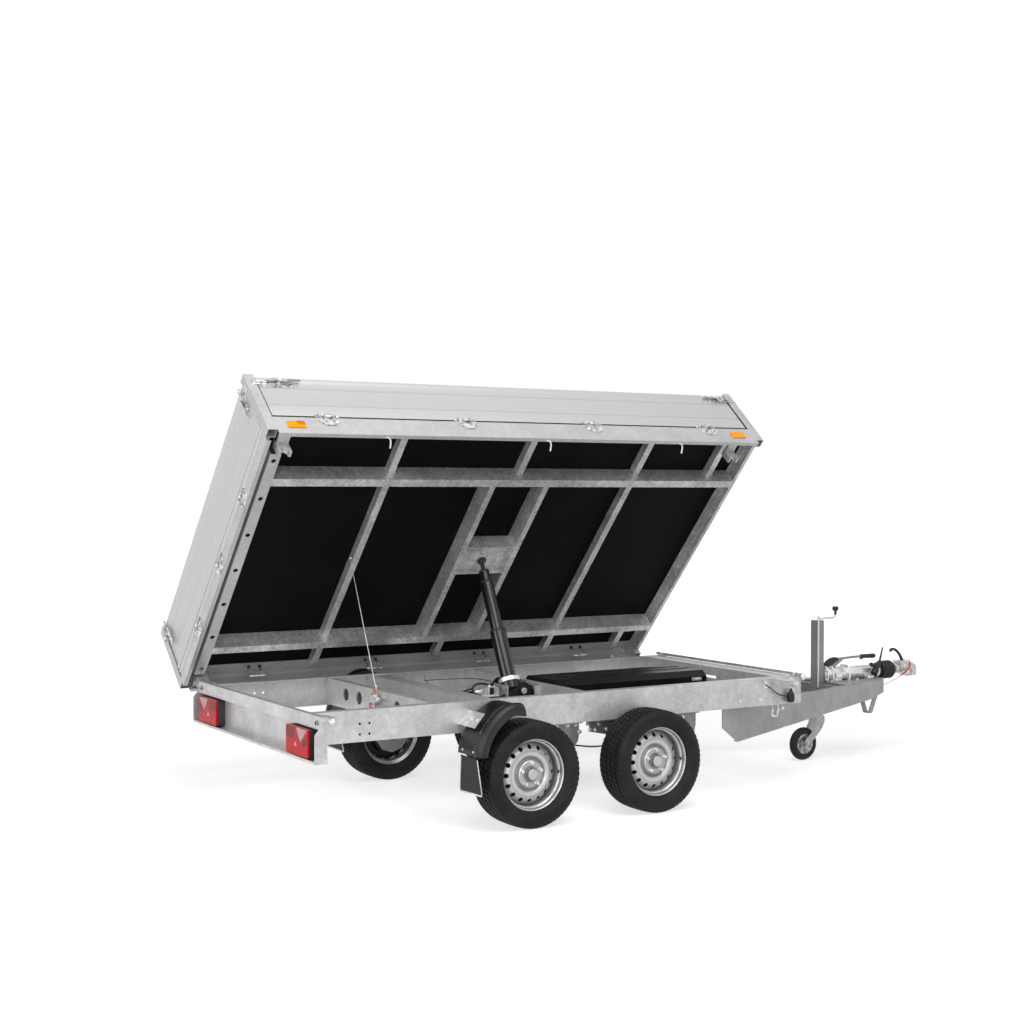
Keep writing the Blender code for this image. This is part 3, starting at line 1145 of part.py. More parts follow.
def tailgate_shape():
    face = BED_REAR + BOARD_SET_IN
    hinge_x = BED_REAR - HINGE_OUT
    reach = BED_HALF_WIDTH - POST - BOARD_END_PLAY
    board = plate(board_section(face, -1, REAR_RIM_TOP + BOARD_OVER_RIM), "XZ", -reach, reach)
    arm, leaf = [[REAR_RIM_TOP + offset for offset in part[1]] for part in (HINGE_ARM, HINGE_LEAF)]
    rails = [block((face - HINGE_OUT, face + 0.001), (-reach, reach), (REAR_RIM_TOP + low, REAR_RIM_TOP + high))
             for low, high in TAILGATE_RAILS]
    extras = []
    for y in TAILGATE_HINGE_Y:
        extras.append(rod((hinge_x, y - 0.020, TAILGATE_HINGE_Z), (hinge_x, y + 0.020, TAILGATE_HINGE_Z),
                          KNUCKLE_RADIUS, sides=6))
        extras.append(block((hinge_x - 0.002, face + HINGE_ARM[0]), (y - 0.019, y + 0.019), arm))
        extras.append(block((face - HINGE_LEAF[0], face + 0.001), (y - 0.018, y + 0.018), leaf))
    for side in (-1, 1):
        hook = sorted((side * (reach + 0.030), side * (reach - 0.030)))
        body = sorted((side * (reach - 0.014), side * (reach - 0.060)))
        extras.append(block((face - 0.018, face + 0.001), body, (0.940, 1.030)))
        extras.append(block((face - 0.017, face - 0.0095), hook, (0.985, 1.015)))
    return fused(board, *rails, *extras)


TAILGATE_FRAME = joint_frame("tailgate_hinge", (BED_REAR - HINGE_OUT, 0.0, TAILGATE_HINGE_Z), BED[0], BED[1])
finished(tailgate_shape(), "tailgate", ALUMINIUM, TAILGATE_FRAME)


def headboard_shape():
    """Fixed front wall with its two corner posts."""
    face = BED_FRONT - BOARD_SET_IN
    reach = BED_HALF_WIDTH - POST
    board = plate(board_section(face, 1, RIM_TOP + GAP), "XZ", -reach - 0.002, reach + 0.002)
    y = -BED_HALF_WIDTH
    near = block((BED_FRONT - POST, BED_FRONT), (y, y + POST), (POST_BOTTOM, POST_TOP))
    wall = POST_WALL
    bore = block((BED_FRONT - POST + wall, BED_FRONT - wall), (y + wall, y + POST - wall),
                 (POST_BOTTOM - 0.01, POST_TOP - 0.003))
    near = cut(near, bore)
    far = mirrored(near)
    return fused(near, far, board)


finished(headboard_shape(), "headboard", ALUMINIUM, BED)
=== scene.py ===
import json
import math

import bpy
import numpy as np
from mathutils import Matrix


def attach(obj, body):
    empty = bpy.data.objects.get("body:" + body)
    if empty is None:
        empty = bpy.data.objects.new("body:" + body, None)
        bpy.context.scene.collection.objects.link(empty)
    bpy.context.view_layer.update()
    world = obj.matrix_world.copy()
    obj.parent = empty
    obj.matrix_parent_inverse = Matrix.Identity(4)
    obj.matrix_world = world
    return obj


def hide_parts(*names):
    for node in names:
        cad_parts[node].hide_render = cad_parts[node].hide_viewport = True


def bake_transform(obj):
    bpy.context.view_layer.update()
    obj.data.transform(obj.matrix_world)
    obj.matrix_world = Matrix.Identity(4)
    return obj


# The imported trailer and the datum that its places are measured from: a point on the floor, midway
# between the axles on the centre line. The bed's places are measured as if it lay lowered.
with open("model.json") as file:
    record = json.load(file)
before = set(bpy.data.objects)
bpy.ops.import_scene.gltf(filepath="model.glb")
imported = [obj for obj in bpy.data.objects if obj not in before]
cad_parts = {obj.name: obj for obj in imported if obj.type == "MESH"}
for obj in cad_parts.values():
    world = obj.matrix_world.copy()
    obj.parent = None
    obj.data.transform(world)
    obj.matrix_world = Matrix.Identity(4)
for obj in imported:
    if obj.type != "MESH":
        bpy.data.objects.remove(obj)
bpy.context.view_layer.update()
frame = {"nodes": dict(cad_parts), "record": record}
joints = {joint["name"]: joint for joint in frame["record"]["behaviour"]["joints"]}
hubs = np.array([joints["wheel_spin_near_rear"]["pos_m"], joints["wheel_spin_far_front"]["pos_m"]])
DATUM = hubs.mean(axis=0) * (1.0, 1.0, 0.0)


def placing(turn, fixed=(0.0, 0.0, 0.0)):
    """Matrix and shift that turn a piece about a fixed point and then move it by the datum."""
    turn, fixed = np.array(turn, dtype=float), np.array(fixed, dtype=float)
    return turn, DATUM + fixed - turn @ fixed


tip = -math.radians(joints["bed_tip"]["range_deg"][0])
cosine, sine = math.cos(tip), math.sin(tip)
PIVOT = np.array(joints["bed_tip"]["pos_m"]) - DATUM
CHASSIS = placing(np.eye(3))
BED = placing([[1, 0, 0], [0, cosine, sine], [0, -sine, cosine]], PIVOT)

# Camera at eye height beside the rear near corner, 8.8 m from the middle of the trailer
lens = bpy.data.cameras.new("camera")
lens.sensor_width = 36.0
lens.lens = 56.35
camera = bpy.data.objects.new("camera", lens)
bpy.context.scene.collection.objects.link(camera)
camera.location = DATUM + (-4.509, -7.372, 1.661)
camera.rotation_euler = np.radians((89.073, -0.161, -31.4674))
bpy.context.scene.camera = camera
bpy.context.scene.view_settings.view_transform = "Standard"


# Studio: a pale painted floor under soft light. Seen straight or mirrored in metal, the surroundings
# are white; what falls on the trailer from them is much weaker than the overhead lamps.
class Shade:
    """One shader socket. Arithmetic on it adds Math nodes to its own material's tree."""

    def __init__(self, tree, socket=None):
        self.tree = tree
        self.socket = socket

    def node(self, kind, settings=(), sockets=(), out=0):
        new = self.tree.nodes.new("ShaderNode" + kind)
        for key, value in dict(settings).items():
            if key == "stops":
                new.color_ramp.interpolation = "LINEAR"
                while len(new.color_ramp.elements) < len(value):
                    new.color_ramp.elements.new(1.0)
                for stop, (place, level) in zip(new.color_ramp.elements, value):
                    stop.position = place
                    stop.color = (level, level, level, 1.0)
            else:
                setattr(new, key, value)
        for key, value in dict(sockets).items():
            if isinstance(value, Shade):
                self.tree.links.new(value.socket, new.inputs[key])
            else:
                new.inputs[key].default_value = value
        return Shade(self.tree, new.outputs[out]) if len(new.outputs) else new

    def maths(self, operation, first, second=0.0):
        return self.node("Math", {"operation": operation}, {0: first, 1: second})

    def __add__(self, other):
        return self.maths("ADD", self, other)

    def __radd__(self, other):
        return self.maths("ADD", other, self)

    def __sub__(self, other):
        return self.maths("SUBTRACT", self, other)

    def __rsub__(self, other):
        return self.maths("SUBTRACT", other, self)

    def __mul__(self, other):
        return self.maths("MULTIPLY", self, other)

    def __rmul__(self, other):
        return self.maths("MULTIPLY", other, self)

    def __pow__(self, other):
        return self.maths("POWER", self, other)

    def above(self, limit, width):
        """0 below the limit, 1 above it, with a soft step of the given width."""
        return self.node("MapRange", {"interpolation_type": "SMOOTHSTEP"},
                         {0: self, 1: limit - width / 2, 2: limit + width / 2, 3: 0.0, 4: 1.0})

    def blend(self, low, high):
        """Colour between two colours, by this socket as the factor."""
        return self.node("Mix", {"data_type": "RGBA"}, {0: self, 6: low, 7: high}, out=2)


def tree_of(owner):
    owner.use_nodes = True
    owner.node_tree.nodes.clear()
    return Shade(owner.node_tree)


def seen_factor(start):
    """1 for rays that look at the surroundings directly, in gloss or through glass, else 0."""
    rays = start.tree.nodes.new("ShaderNodeLightPath").outputs
    looks = [Shade(start.tree, rays[name]) for name in
             ("Is Camera Ray", "Is Glossy Ray", "Is Transmission Ray")]
    return start.maths("MINIMUM", looks[0] + looks[1] + looks[2], 1.0)


surroundings = bpy.data.worlds.new("studio")
bpy.context.scene.world = surroundings
start = tree_of(surroundings)
level = seen_factor(start) * 0.70 + 0.30
glow = start.node("Background", {}, {"Color": (1.0, 1.0, 1.0, 1.0), "Strength": level})
start.node("OutputWorld", {}, {"Surface": glow})

floor_side = 40.0
rows = np.array([[[-1, -1, 0], [1, -1, 0]], [[-1, 1, 0], [1, 1, 0]]]) * floor_side
floor_mesh = bpy.data.meshes.new("studio_floor")
floor_mesh.from_pydata(rows.reshape(-1, 3) + (0.0, 0.0, -0.0005), [], [(0, 1, 3, 2)])
floor = bpy.data.objects.new("studio_floor", floor_mesh)
bpy.context.scene.collection.objects.link(floor)
paint = bpy.data.materials.new("floor_paint")
start = tree_of(paint)
matt = start.node("BsdfDiffuse", {}, {"Color": (0.62, 0.62, 0.62, 1.0)})
# For camera and gloss rays the floor also glows, from 0.66 within 2 m of the floor's middle to full white
# beyond 7 m: painted light that whitens the far floor while the near floor keeps the real shadow
away = start.node("VectorMath", {"operation": "LENGTH"}, {0: start.node("TexCoord", out=3)}, out=1)
rising = start.node("MapRange", {"interpolation_type": "SMOOTHSTEP"},
                    {0: away, 1: 2.0, 2: 7.0, 3: 0.66, 4: 1.0})
painted_glow = start.node("Emission", {}, {"Color": (1.0, 1.0, 1.0, 1.0), "Strength": rising})
both = start.node("AddShader", {}, {0: matt, 1: painted_glow})
shown = start.node("MixShader", {}, {0: seen_factor(start), 1: matt, 2: both})
start.node("OutputMaterial", {}, {"Surface": shown})
floor_mesh.materials.append(paint)

# columns: name, place from the datum, aim point, side length, power
for name, place, aim, side, power in (
        ("overhead", (-1.0, -3.5, 6.5), (0.2, 0.0, 0.8), 5.0, 300.0),
        ("near_side", (-4.5, -5.8, 2.2), (-0.6, 0.0, 0.6), 3.0, 115.0),
        ("rear_side", (-7.0, -0.5, 2.6), (-1.0, 0.0, 0.8), 3.0, 120.0)):
    softbox = bpy.data.lights.new(name, "AREA")
    softbox.size = side
    softbox.energy = power
    lamp = bpy.data.objects.new(name, softbox)
    bpy.context.scene.collection.objects.link(lamp)
    lamp.location = DATUM + place
    aim_line = np.array(aim) - place
    lamp.rotation_euler = (math.atan2(math.hypot(aim_line[0], aim_line[1]), -aim_line[2]), 0.0,
                           math.atan2(-aim_line[0], aim_line[1]))


# Chassis steelwork: folded and welded 4 mm sheet, hot-dip galvanised after welding. The zinc has
# fine crystals, cloudy patches and runs.
def finish(name, colour, rough, metal, coat=0.0, specular=0.5):
    """A new material, its start socket, its main shader and its Object coordinates."""
    material = bpy.data.materials.new(name)
    start = tree_of(material)
    shader = start.tree.nodes.new("ShaderNodeBsdfPrincipled")
    shader.inputs["Base Color"].default_value = (*colour, 1.0)
    shader.inputs["Roughness"].default_value = rough
    shader.inputs["Metallic"].default_value = metal
    shader.inputs["Coat Weight"].default_value = coat
    shader.inputs["Specular IOR Level"].default_value = specular
    start.node("OutputMaterial", {}, {"Surface": Shade(start.tree, shader.outputs[0])})
    where = start.node("TexCoord", out=3)
    return material, start, shader, where


def feed(shader, **sockets):
    for key, value in sockets.items():
        value.tree.links.new(value.socket, shader.inputs[key.replace("_", " ")])


def noise(where, scale, detail=3.0, rough=0.55, stretch=(1.0, 1.0, 1.0)):
    """Cloud pattern from 0 to 1; stretch squeezes it along an axis."""
    mapped = where.node("Mapping", {}, {"Vector": where, "Scale": stretch})
    return where.node("TexNoise", {}, {"Vector": mapped, "Scale": scale, "Detail": detail,
                                       "Roughness": rough})


def bumped(shader, height, distance, strength=1.0):
    normal = height.node("Bump", {}, {"Height": height, "Distance": distance, "Strength": strength})
    feed(shader, Normal=normal)


def grey(level, warmth=0.0):
    return (level + warmth, level, level - warmth, 1.0)


def galvanised(name, dark, light, mottle=1.0):
    """Zinc coat: crystal cells, clouds of tone, mottled grain and faint runs."""
    material, start, shader, where = finish(name, (light,) * 3, 0.42, 0.55)
    cells = where.node("TexVoronoi", {}, {"Vector": where, "Scale": 120.0}, out=1)
    cell_tone = cells.node("SeparateColor", {}, {"Color": cells})
    clouds = noise(where, 5.5, 5.0, 0.62)
    grain = noise(where, 60.0, 4.0, 0.65)
    patches = noise(where, 24.0, 3.0, 0.6).above(0.56, 0.14)
    runs = noise(where, 9.0, 2.0, 0.5, (3.0, 3.0, 0.4)).above(0.60, 0.16)
    tone = clouds.above(0.5, 0.42) * 0.40 + cell_tone * 0.16 + grain.above(0.5, 0.5) * (0.22 * mottle)
    tone = tone + patches * 0.14 + runs * 0.08
    feed(shader, Base_Color=tone.blend(grey(dark), grey(light)), Roughness=tone * -0.16 + 0.50)
    bumped(shader, cell_tone * 0.3 + clouds, 0.0004)
    return material


zinc_coat = galvanised("galvanised", 0.40, 0.70, 1.3)
drawbar_coat = galvanised("galvanised_drawbar", 0.27, 0.42, 0.5)
plate_coat = galvanised("galvanised_axles", 0.16, 0.34, 0.8)
steelwork = ["side_beam_near", "side_beam_far", "rear_beam", "front_beam", "cross_plate",
             "cross_channel_rear", "cross_channel_front"]


def recoat(names, material):
    for name in names:
        mesh = frame["nodes"][name].data
        mesh.materials.clear()
        mesh.materials.append(material)


recoat(steelwork, zinc_coat)
recoat(["drawbar_near", "drawbar_far", "drawbar_nose"], drawbar_coat)
recoat(["axle_rear", "axle_front"], plate_coat)


# Bolts of the chassis: zinc-plated hexagon bolts with washers, in rows along the side beams and on
# the ends of the rear beam. The surfaces that this section defines draw every piece below.
def skin(rows, closed=True, loop=False):
    """Surface over a grid: rows[i, j] is point j of ring i. Neighbouring points make four-sided
    faces; closed joins each ring's ends, and loop joins the last ring to the first. A closed ring
    at either free end is filled by one face."""
    rings, around = rows.shape[:2]
    index = np.arange(rings * around).reshape(rings, around)
    here, after = (index, np.roll(index, -1, 0)) if loop else (index[:-1], index[1:])
    if closed:
        quads = np.stack([here, np.roll(here, -1, 1), np.roll(after, -1, 1), after], -1)
    else:
        quads = np.stack([here[:, :-1], here[:, 1:], after[:, 1:], after[:, :-1]], -1)
    caps = [index[0][::-1].tolist(), index[-1].tolist()] if closed and not loop else []
    return outward(rows.reshape(-1, 3), quads.reshape(-1, 4), caps)


def outward(points, quads, caps):
    """Turns every face round if the volume under them, summed corner by corner, is negative."""
    faces = [quads] + [np.array([[cap[0]] * (len(cap) - 2), cap[1:-1], cap[2:]]).T for cap in caps]
    volume = 0.0
    for group in faces:
        corners = points[group]
        for second in range(1, group.shape[1] - 1):
            volume += np.einsum("ij,ij->i", corners[:, 0],
                                np.cross(corners[:, second], corners[:, second + 1])).sum()
    if volume < 0.0:
        return points, quads[:, ::-1], [cap[::-1] for cap in caps]
    return points, quads, caps


def turned(profile, count=24, loop=False):
    """Profile of (radius, height) carried round Z in count steps."""
    radius, height = np.array(profile, dtype=float).T
    turn = np.linspace(0.0, 2 * np.pi, count, endpoint=False)
    rows = np.stack([radius[:, None] * np.cos(turn), radius[:, None] * np.sin(turn),
                     height[:, None] + 0.0 * turn], -1)
    return skin(rows, loop=loop)


def slab(outline, low, high, edge=0.0008):
    """Flat outline of (x, y) given thickness along Z, its rims chamfered: the outline is drawn in by
    the chamfer along the mean normal of its two sides at each corner."""
    outline = np.array(outline, dtype=float)
    side = np.roll(outline, -1, 0) - outline
    side /= np.linalg.norm(side, axis=1)[:, None]
    normal = np.stack([side[:, 1], -side[:, 0]], 1)
    mean = normal + np.roll(normal, 1, 0)
    mean /= np.maximum((mean * normal).sum(1), 0.3)[:, None]
    area = (outline[:, 0] * np.roll(outline[:, 1], -1) - np.roll(outline[:, 0], -1) * outline[:, 1]).sum()
    drawn_in = outline - mean * edge * np.sign(area)
    rows = [(drawn_in, low), (outline, low + edge), (outline, high - edge), (drawn_in, high)]
    return skin(np.stack([np.column_stack([ring, np.full(len(ring), depth)]) for ring, depth in rows]))


def rounded(points, radius, steps=4, loop=True):
    """Corners of a line replaced by short curves that leave and meet it at the given distance."""
    points = np.array(points, dtype=float)
    before, after = np.roll(points, 1, 0) - points, np.roll(points, -1, 0) - points
    lengths = [np.maximum(np.linalg.norm(arm, axis=1), 1e-9)[:, None] for arm in (before, after)]
    reach = np.broadcast_to(np.array(radius, dtype=float).reshape(-1, 1), (len(points), 1))
    starts, ends = (points + arm / length * np.minimum(reach, length * 0.49)
                    for arm, length in zip((before, after), lengths))
    share = np.linspace(0.0, 1.0, steps + 1)[None, :, None]
    curve = ((1 - share) ** 2 * starts[:, None] + 2 * share * (1 - share) * points[:, None]
             + share ** 2 * ends[:, None])
    if loop:
        return curve.reshape(-1, points.shape[1])
    return np.concatenate([points[:1], curve[1:-1].reshape(-1, points.shape[1]), points[-1:]])


def box_line(x, y):
    return [(x[0], y[0]), (x[1], y[0]), (x[1], y[1]), (x[0], y[1])]


def block(x, y, z, corner, edge=0.0008):
    """Box between two values along each axis: its upright corners are rounded and its upper and
    lower rims chamfered."""
    return slab(rounded(box_line(x, y), corner), z[0], z[1], edge)


def moved(part, shift=(0.0, 0.0, 0.0), axis="z", spin=0.0):
    """A part spun about its Z by an angle in degrees, stood along an axis, then shifted.
    axis x or y takes Z to it; -y looks the other way; a vector takes Z along it."""
    points, quads, caps = part
    named = {"x": (1, 0, 0), "y": (0, 1, 0), "z": (0, 0, 1), "-x": (-1, 0, 0), "-y": (0, -1, 0),
             "-z": (0, 0, -1)}
    up = np.array(named.get(axis, axis) if isinstance(axis, str) else axis, dtype=float)
    up /= np.linalg.norm(up)
    helper = np.array((0.0, 0.0, 1.0) if abs(up[2]) < 0.9 else (1.0, 0.0, 0.0))
    side = np.cross(helper, up)
    side /= np.linalg.norm(side)
    frame_rows = np.array([side, np.cross(up, side), up])
    c, s = math.cos(math.radians(spin)), math.sin(math.radians(spin))
    points = points @ np.array([[c, s, 0], [-s, c, 0], [0, 0, 1]])
    return outward(points @ frame_rows + np.array(shift, dtype=float), quads, caps)


def turned_at(profile, place, axis="z", count=16, soft=0.001, steps=2):
    """Turned piece whose profile has softened corners, stood along an axis at a place."""
    return moved(turned(rounded(profile, soft, steps, False), count), place, axis)


def flat_on(part, plane, shift=(0.0, 0.0, 0.0)):
    """A part drawn in x, y with depth z, laid so that its plane is xz or yz and its depth y or x."""
    points, quads, caps = part
    order = {"xz": [0, 2, 1], "yz": [2, 0, 1], "xy": [0, 1, 2]}[plane]
    return outward(points[:, order] + np.array(shift, dtype=float), quads, caps)


def tube_of(outer, inner, low, high):
    """Wall between two outlines of the same count, from low to high, with flat ends."""
    inner = inner[np.linspace(0, len(inner), len(outer), endpoint=False).astype(int)]
    count = len(outer)
    rows = [np.column_stack([line, np.full(count, z)])
            for line, z in ((outer, low), (outer, high), (inner, high), (inner, low))]
    near = np.arange(count)
    far = (near + 1) % count
    quads = np.concatenate([np.stack([row * count + near, row * count + far, (row + 1) % 4 * count + far,
                                      (row + 1) % 4 * count + near], 1) for row in range(4)])
    return outward(np.concatenate(rows), quads, [])


def carried(path, section, loop=False, up=(0.0, 0.0, 1.0)):
    """Section of (side, up) points carried along a path; it stands square to the path throughout.
    The section may have one outline for the whole path or one for each point of it."""
    path = np.array(path, dtype=float)
    if loop:
        along = np.roll(path, -1, 0) - np.roll(path, 1, 0)
    else:
        along = np.gradient(path, axis=0)
    along /= np.linalg.norm(along, axis=1)[:, None]
    side = np.cross(along, np.array(up, dtype=float))
    side /= np.maximum(np.linalg.norm(side, axis=1), 1e-9)[:, None]
    rise = np.cross(side, along)
    section = np.array(section, dtype=float)
    if section.ndim == 2:
        section = np.broadcast_to(section, (len(path), *section.shape))
    rows = path[:, None] + side[:, None] * section[:, :, :1] + rise[:, None] * section[:, :, 1:]
    return skin(rows, loop=loop)


def ring(radius, count=10, flatten=1.0):
    turn = np.linspace(0.0, 2 * np.pi, count, endpoint=False)
    return np.stack([radius * np.cos(turn), radius * flatten * np.sin(turn)], 1)


def flowing(points, steps=6):
    """Smooth curve through points: between two of them it is the cubic whose slope at each point is
    half the line joining its neighbours."""
    points = np.array(points, dtype=float)
    ends = np.concatenate([2 * points[:1] - points[1:2], points, 2 * points[-1:] - points[-2:-1]])
    a, b, c, d = ends[:-3, None], ends[1:-2, None], ends[2:-1, None], ends[3:, None]
    t = np.linspace(0.0, 1.0, steps, endpoint=False)[None, :, None]
    curve = 0.5 * (2 * b + (c - a) * t + (2 * a - 5 * b + 4 * c - d) * t ** 2
                   + (3 * b - a - 3 * c + d) * t ** 3)
    return np.concatenate([curve.reshape(-1, points.shape[1]), points[-1:]])


def cable(points, radius, steps=6, count=8):
    return carried(flowing(points, steps), ring(radius, count))


def merged(*parts):
    """Several parts as one: their points are put in a row and each part's faces counted on."""
    parts = [piece for part in parts for piece in (part if isinstance(part, list) else [part])]
    starts = np.cumsum([0] + [len(points) for points, quads, caps in parts])
    caps = [[corner + int(start) for corner in cap] for (p, q, ends), start in zip(parts, starts)
            for cap in ends]
    return (np.concatenate([points for points, quads, ends in parts]),
            np.concatenate([quads + start for (p, quads, ends), start in zip(parts, starts)]), caps)


def repeated(part, places):
    """The same part at each of several places."""
    return merged([(part[0] + np.array(place, dtype=float), part[1], part[2]) for place in places])


def other_side(part):
    points, quads, caps = part
    return outward(points * (1.0, -1.0, 1.0), quads, caps)


def both_sides(part):
    return merged(part, other_side(part))


def show(name, part, material, body="chassis", replaces=(), place=CHASSIS, sharp=32.0):
    """Makes a part into a finished piece that rides on a body, its place in its mesh."""
    points, quads, caps = part
    turn, shift = place
    points = points @ turn.T + shift
    mesh = bpy.data.meshes.new(name)
    mesh.from_pydata(points, [], quads.tolist() + caps)
    mesh.validate()
    mesh.shade_smooth()
    mesh.set_sharp_from_angle(angle=math.radians(sharp))
    mesh.materials.append(material)
    thing = bpy.data.objects.new(name, mesh)
    bpy.context.scene.collection.objects.link(thing)
    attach(thing, body)
    if replaces:
        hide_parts(*replaces)
    return thing


def bolt(size, height=0.6):
    """Washer and hexagon head; size is the shank's diameter."""
    washer = turned([(size * 1.05, 0.0), (size * 1.05, size * 0.15), (size * 0.95, size * 0.18)], 16)
    head = turned([(size * 0.85, size * 0.15), (size * 0.85, size * (height + 0.05)),
                   (size * 0.72, size * (height + 0.15))], 6)
    return merged(washer, head)


def bolts_at(size, places, axis="", height=0.6):
    """Bolts of one size at several places. Their heads look up, or along a named axis."""
    one = moved(bolt(size, height), axis=axis) if axis else bolt(size, height)
    return repeated(one, places)


def bright_zinc(name, light=0.78, rough=0.28, dark=0.72, size=26.0):
    """Zinc plate: bright, a little cloudy, with a finely rippled surface."""
    material, start, shader, where = finish(name, (light,) * 3, rough, 0.75)
    clouds = noise(where, size, 3.0)
    feed(shader, Base_Color=clouds.above(0.5, 0.4).blend(grey(light * dark), grey(light)),
         Roughness=clouds * 0.22 + (rough - 0.08))
    bumped(shader, noise(where, 160.0, 2.0), 0.0003)
    return material


zinc_plate = bright_zinc("zinc_plate")
plate_face, beam_face, rear_face = -0.6003, -0.640, -1.4752
chassis_bolts = merged(
    bolts_at(0.010, [(x, plate_face, 0.447) for x in (-0.10, -0.03, 0.02, 0.09)], "-y"),
    bolts_at(0.009, [(x, beam_face, 0.500) for x in (1.060, 1.200)], "-y"),
    bolts_at(0.012, [(rear_face, y, 0.585) for y in (-0.73, 0.73)], "-x"))
show("chassis_bolts", both_sides(chassis_bolts), zinc_plate)


# Tyres: 195/50 R13 trailer tyres, moulded rubber with five ribs, four grooves, cross cuts in every
# rib and open shoulder blocks. Rubber is near black.
def smooth_step(value, low, high):
    share = np.clip((value - low) / (high - low), 0.0, 1.0)
    return share * share * (3 - 2 * share)


TYRE_RADIUS, TREAD_HALF, TREAD_EDGE = 0.2623, 0.0815, 0.2490
GROOVES = np.array((-0.052, -0.018, 0.018, 0.052))
GROOVE_FOOT, GROOVE_TOP, GROOVE_DEPTH = 0.0046, 0.0062, 0.0085
CUT_DEPTH, SHOULDER_CUT_DEPTH = 0.0055, 0.0036
CUT_PITCH = 8
WHEEL_STEPS = 60 * CUT_PITCH


def tyre_part():
    """Section of a tyre carried round its axle. Its radius drops by the groove depth inside each
    groove and each cross cut, as a product of soft steps across and round the tread."""
    wall = [(0.1735, 0.0670), (0.1745, 0.0745), (0.1800, 0.0800), (0.1880, 0.0830), (0.1900, 0.0850),
            (0.2000, 0.0915), (0.2120, 0.0965), (0.2220, 0.0973), (0.2330, 0.0962), (0.2365, 0.0945),
            (0.2450, 0.0920), (0.2530, 0.0880), (0.2575, 0.0840)]
    edges = (GROOVES[:, None] + np.array((-GROOVE_TOP, -GROOVE_FOOT, GROOVE_FOOT, GROOVE_TOP))).ravel()
    tread = np.unique(np.concatenate([edges, np.linspace(-0.078, 0.078, 21), [-TREAD_HALF, TREAD_HALF]]))
    crown = TYRE_RADIUS - 0.0032 * (np.abs(tread) / TREAD_HALF) ** 3.2
    across = np.concatenate([-np.array(wall)[:, 1], tread, np.array(wall)[::-1, 1]])
    radius = np.concatenate([np.array(wall)[:, 0], crown, np.array(wall)[::-1, 0]])
    turn = np.linspace(0.0, 2 * np.pi, WHEEL_STEPS, endpoint=False)
    a, r, n = across[:, None], radius[:, None], np.arange(WHEEL_STEPS)[None, :]
    groove = sum(1.0 - smooth_step(np.abs(a - centre), GROOVE_FOOT, GROOVE_TOP) for centre in GROOVES)
    rib = np.searchsorted(GROOVES, a)
    slant = np.round(a * 180).astype(int)
    cut = ((n + rib * 4 + slant) % CUT_PITCH < 2) * (np.abs(a) < 0.090) * (r > TREAD_EDGE)
    cut_depth = np.where(np.abs(a) > GROOVES[-1], SHOULDER_CUT_DEPTH, CUT_DEPTH)
    depth = np.maximum(groove * GROOVE_DEPTH, cut * cut_depth)
    ribbed = (np.abs(r - 0.2365) < 0.009) * 0.0009 * ((n % 4) < 2)
    rows_r = r - depth + ribbed
    rows = np.stack([rows_r * np.cos(turn), a + 0.0 * turn, rows_r * np.sin(turn)], -1)
    inner = np.stack([np.stack([np.cos(turn), np.zeros_like(turn), np.sin(turn)], -1) * 0.1722
                      + np.array((0.0, y, 0.0)) for y in (0.067, -0.067)])
    return skin(np.concatenate([rows, inner]), loop=True)


def rubber(name, tone=0.016, rough=0.62, gloss=0.30):
    """Moulded rubber: near black, dusty in patches, finely grained."""
    material, start, shader, where = finish(name, (tone,) * 3, rough, 0.0, 0.0, gloss)
    dust = noise(where, 14.0, 4.0)
    feed(shader, Base_Color=dust.above(0.55, 0.35).blend(grey(tone * 0.7), grey(tone * 1.9)),
         Roughness=dust * 0.25 + (rough - 0.12))
    bumped(shader, noise(where, 700.0, 2.0), 0.0003)
    return material


tyre_rubber = rubber("tyre_rubber", 0.0105, 0.62, 0.22)
tyre = tyre_part()
WHEEL_MIDDLE = 0.7575
# columns: wheel, its axle's place, its side of the trailer
WHEELS = (("near_rear", -0.375, -1), ("near_front", 0.375, -1), ("far_rear", -0.375, 1),
          ("far_front", 0.375, 1))


def at_hub(axle_x, side):
    """Placing rule from a wheel's own frame, outboard side -Y, to its axle end."""
    turn, _ = placing(np.diag((-side, -side, 1.0)))
    return turn, DATUM + (axle_x, side * WHEEL_MIDDLE, TYRE_RADIUS + 0.0002)


for name, axle_x, side in WHEELS:
    show(f"tread_{name}", tyre, tyre_rubber, f"wheel_{name}", [f"tyre_{name}"],
         at_hub(axle_x, side), 40.0)


# Wheels: pressed steel discs welded into rolled rims, lacquered silver, with sixteen round vents,
# five bolts on a 112 mm circle and a dust cap; the rubber valve stands in the rim
FACE = -0.0775
VENTS = 16
vent_circle, vent_radius = 0.1320, 0.0118
disc_line = np.array([(0.1140, FACE + 0.0385), (0.1200, FACE + 0.0400), (0.1280, FACE + 0.0440),
                      (0.1360, FACE + 0.0500), (0.1440, FACE + 0.0580), (0.1500, FACE + 0.0640)])


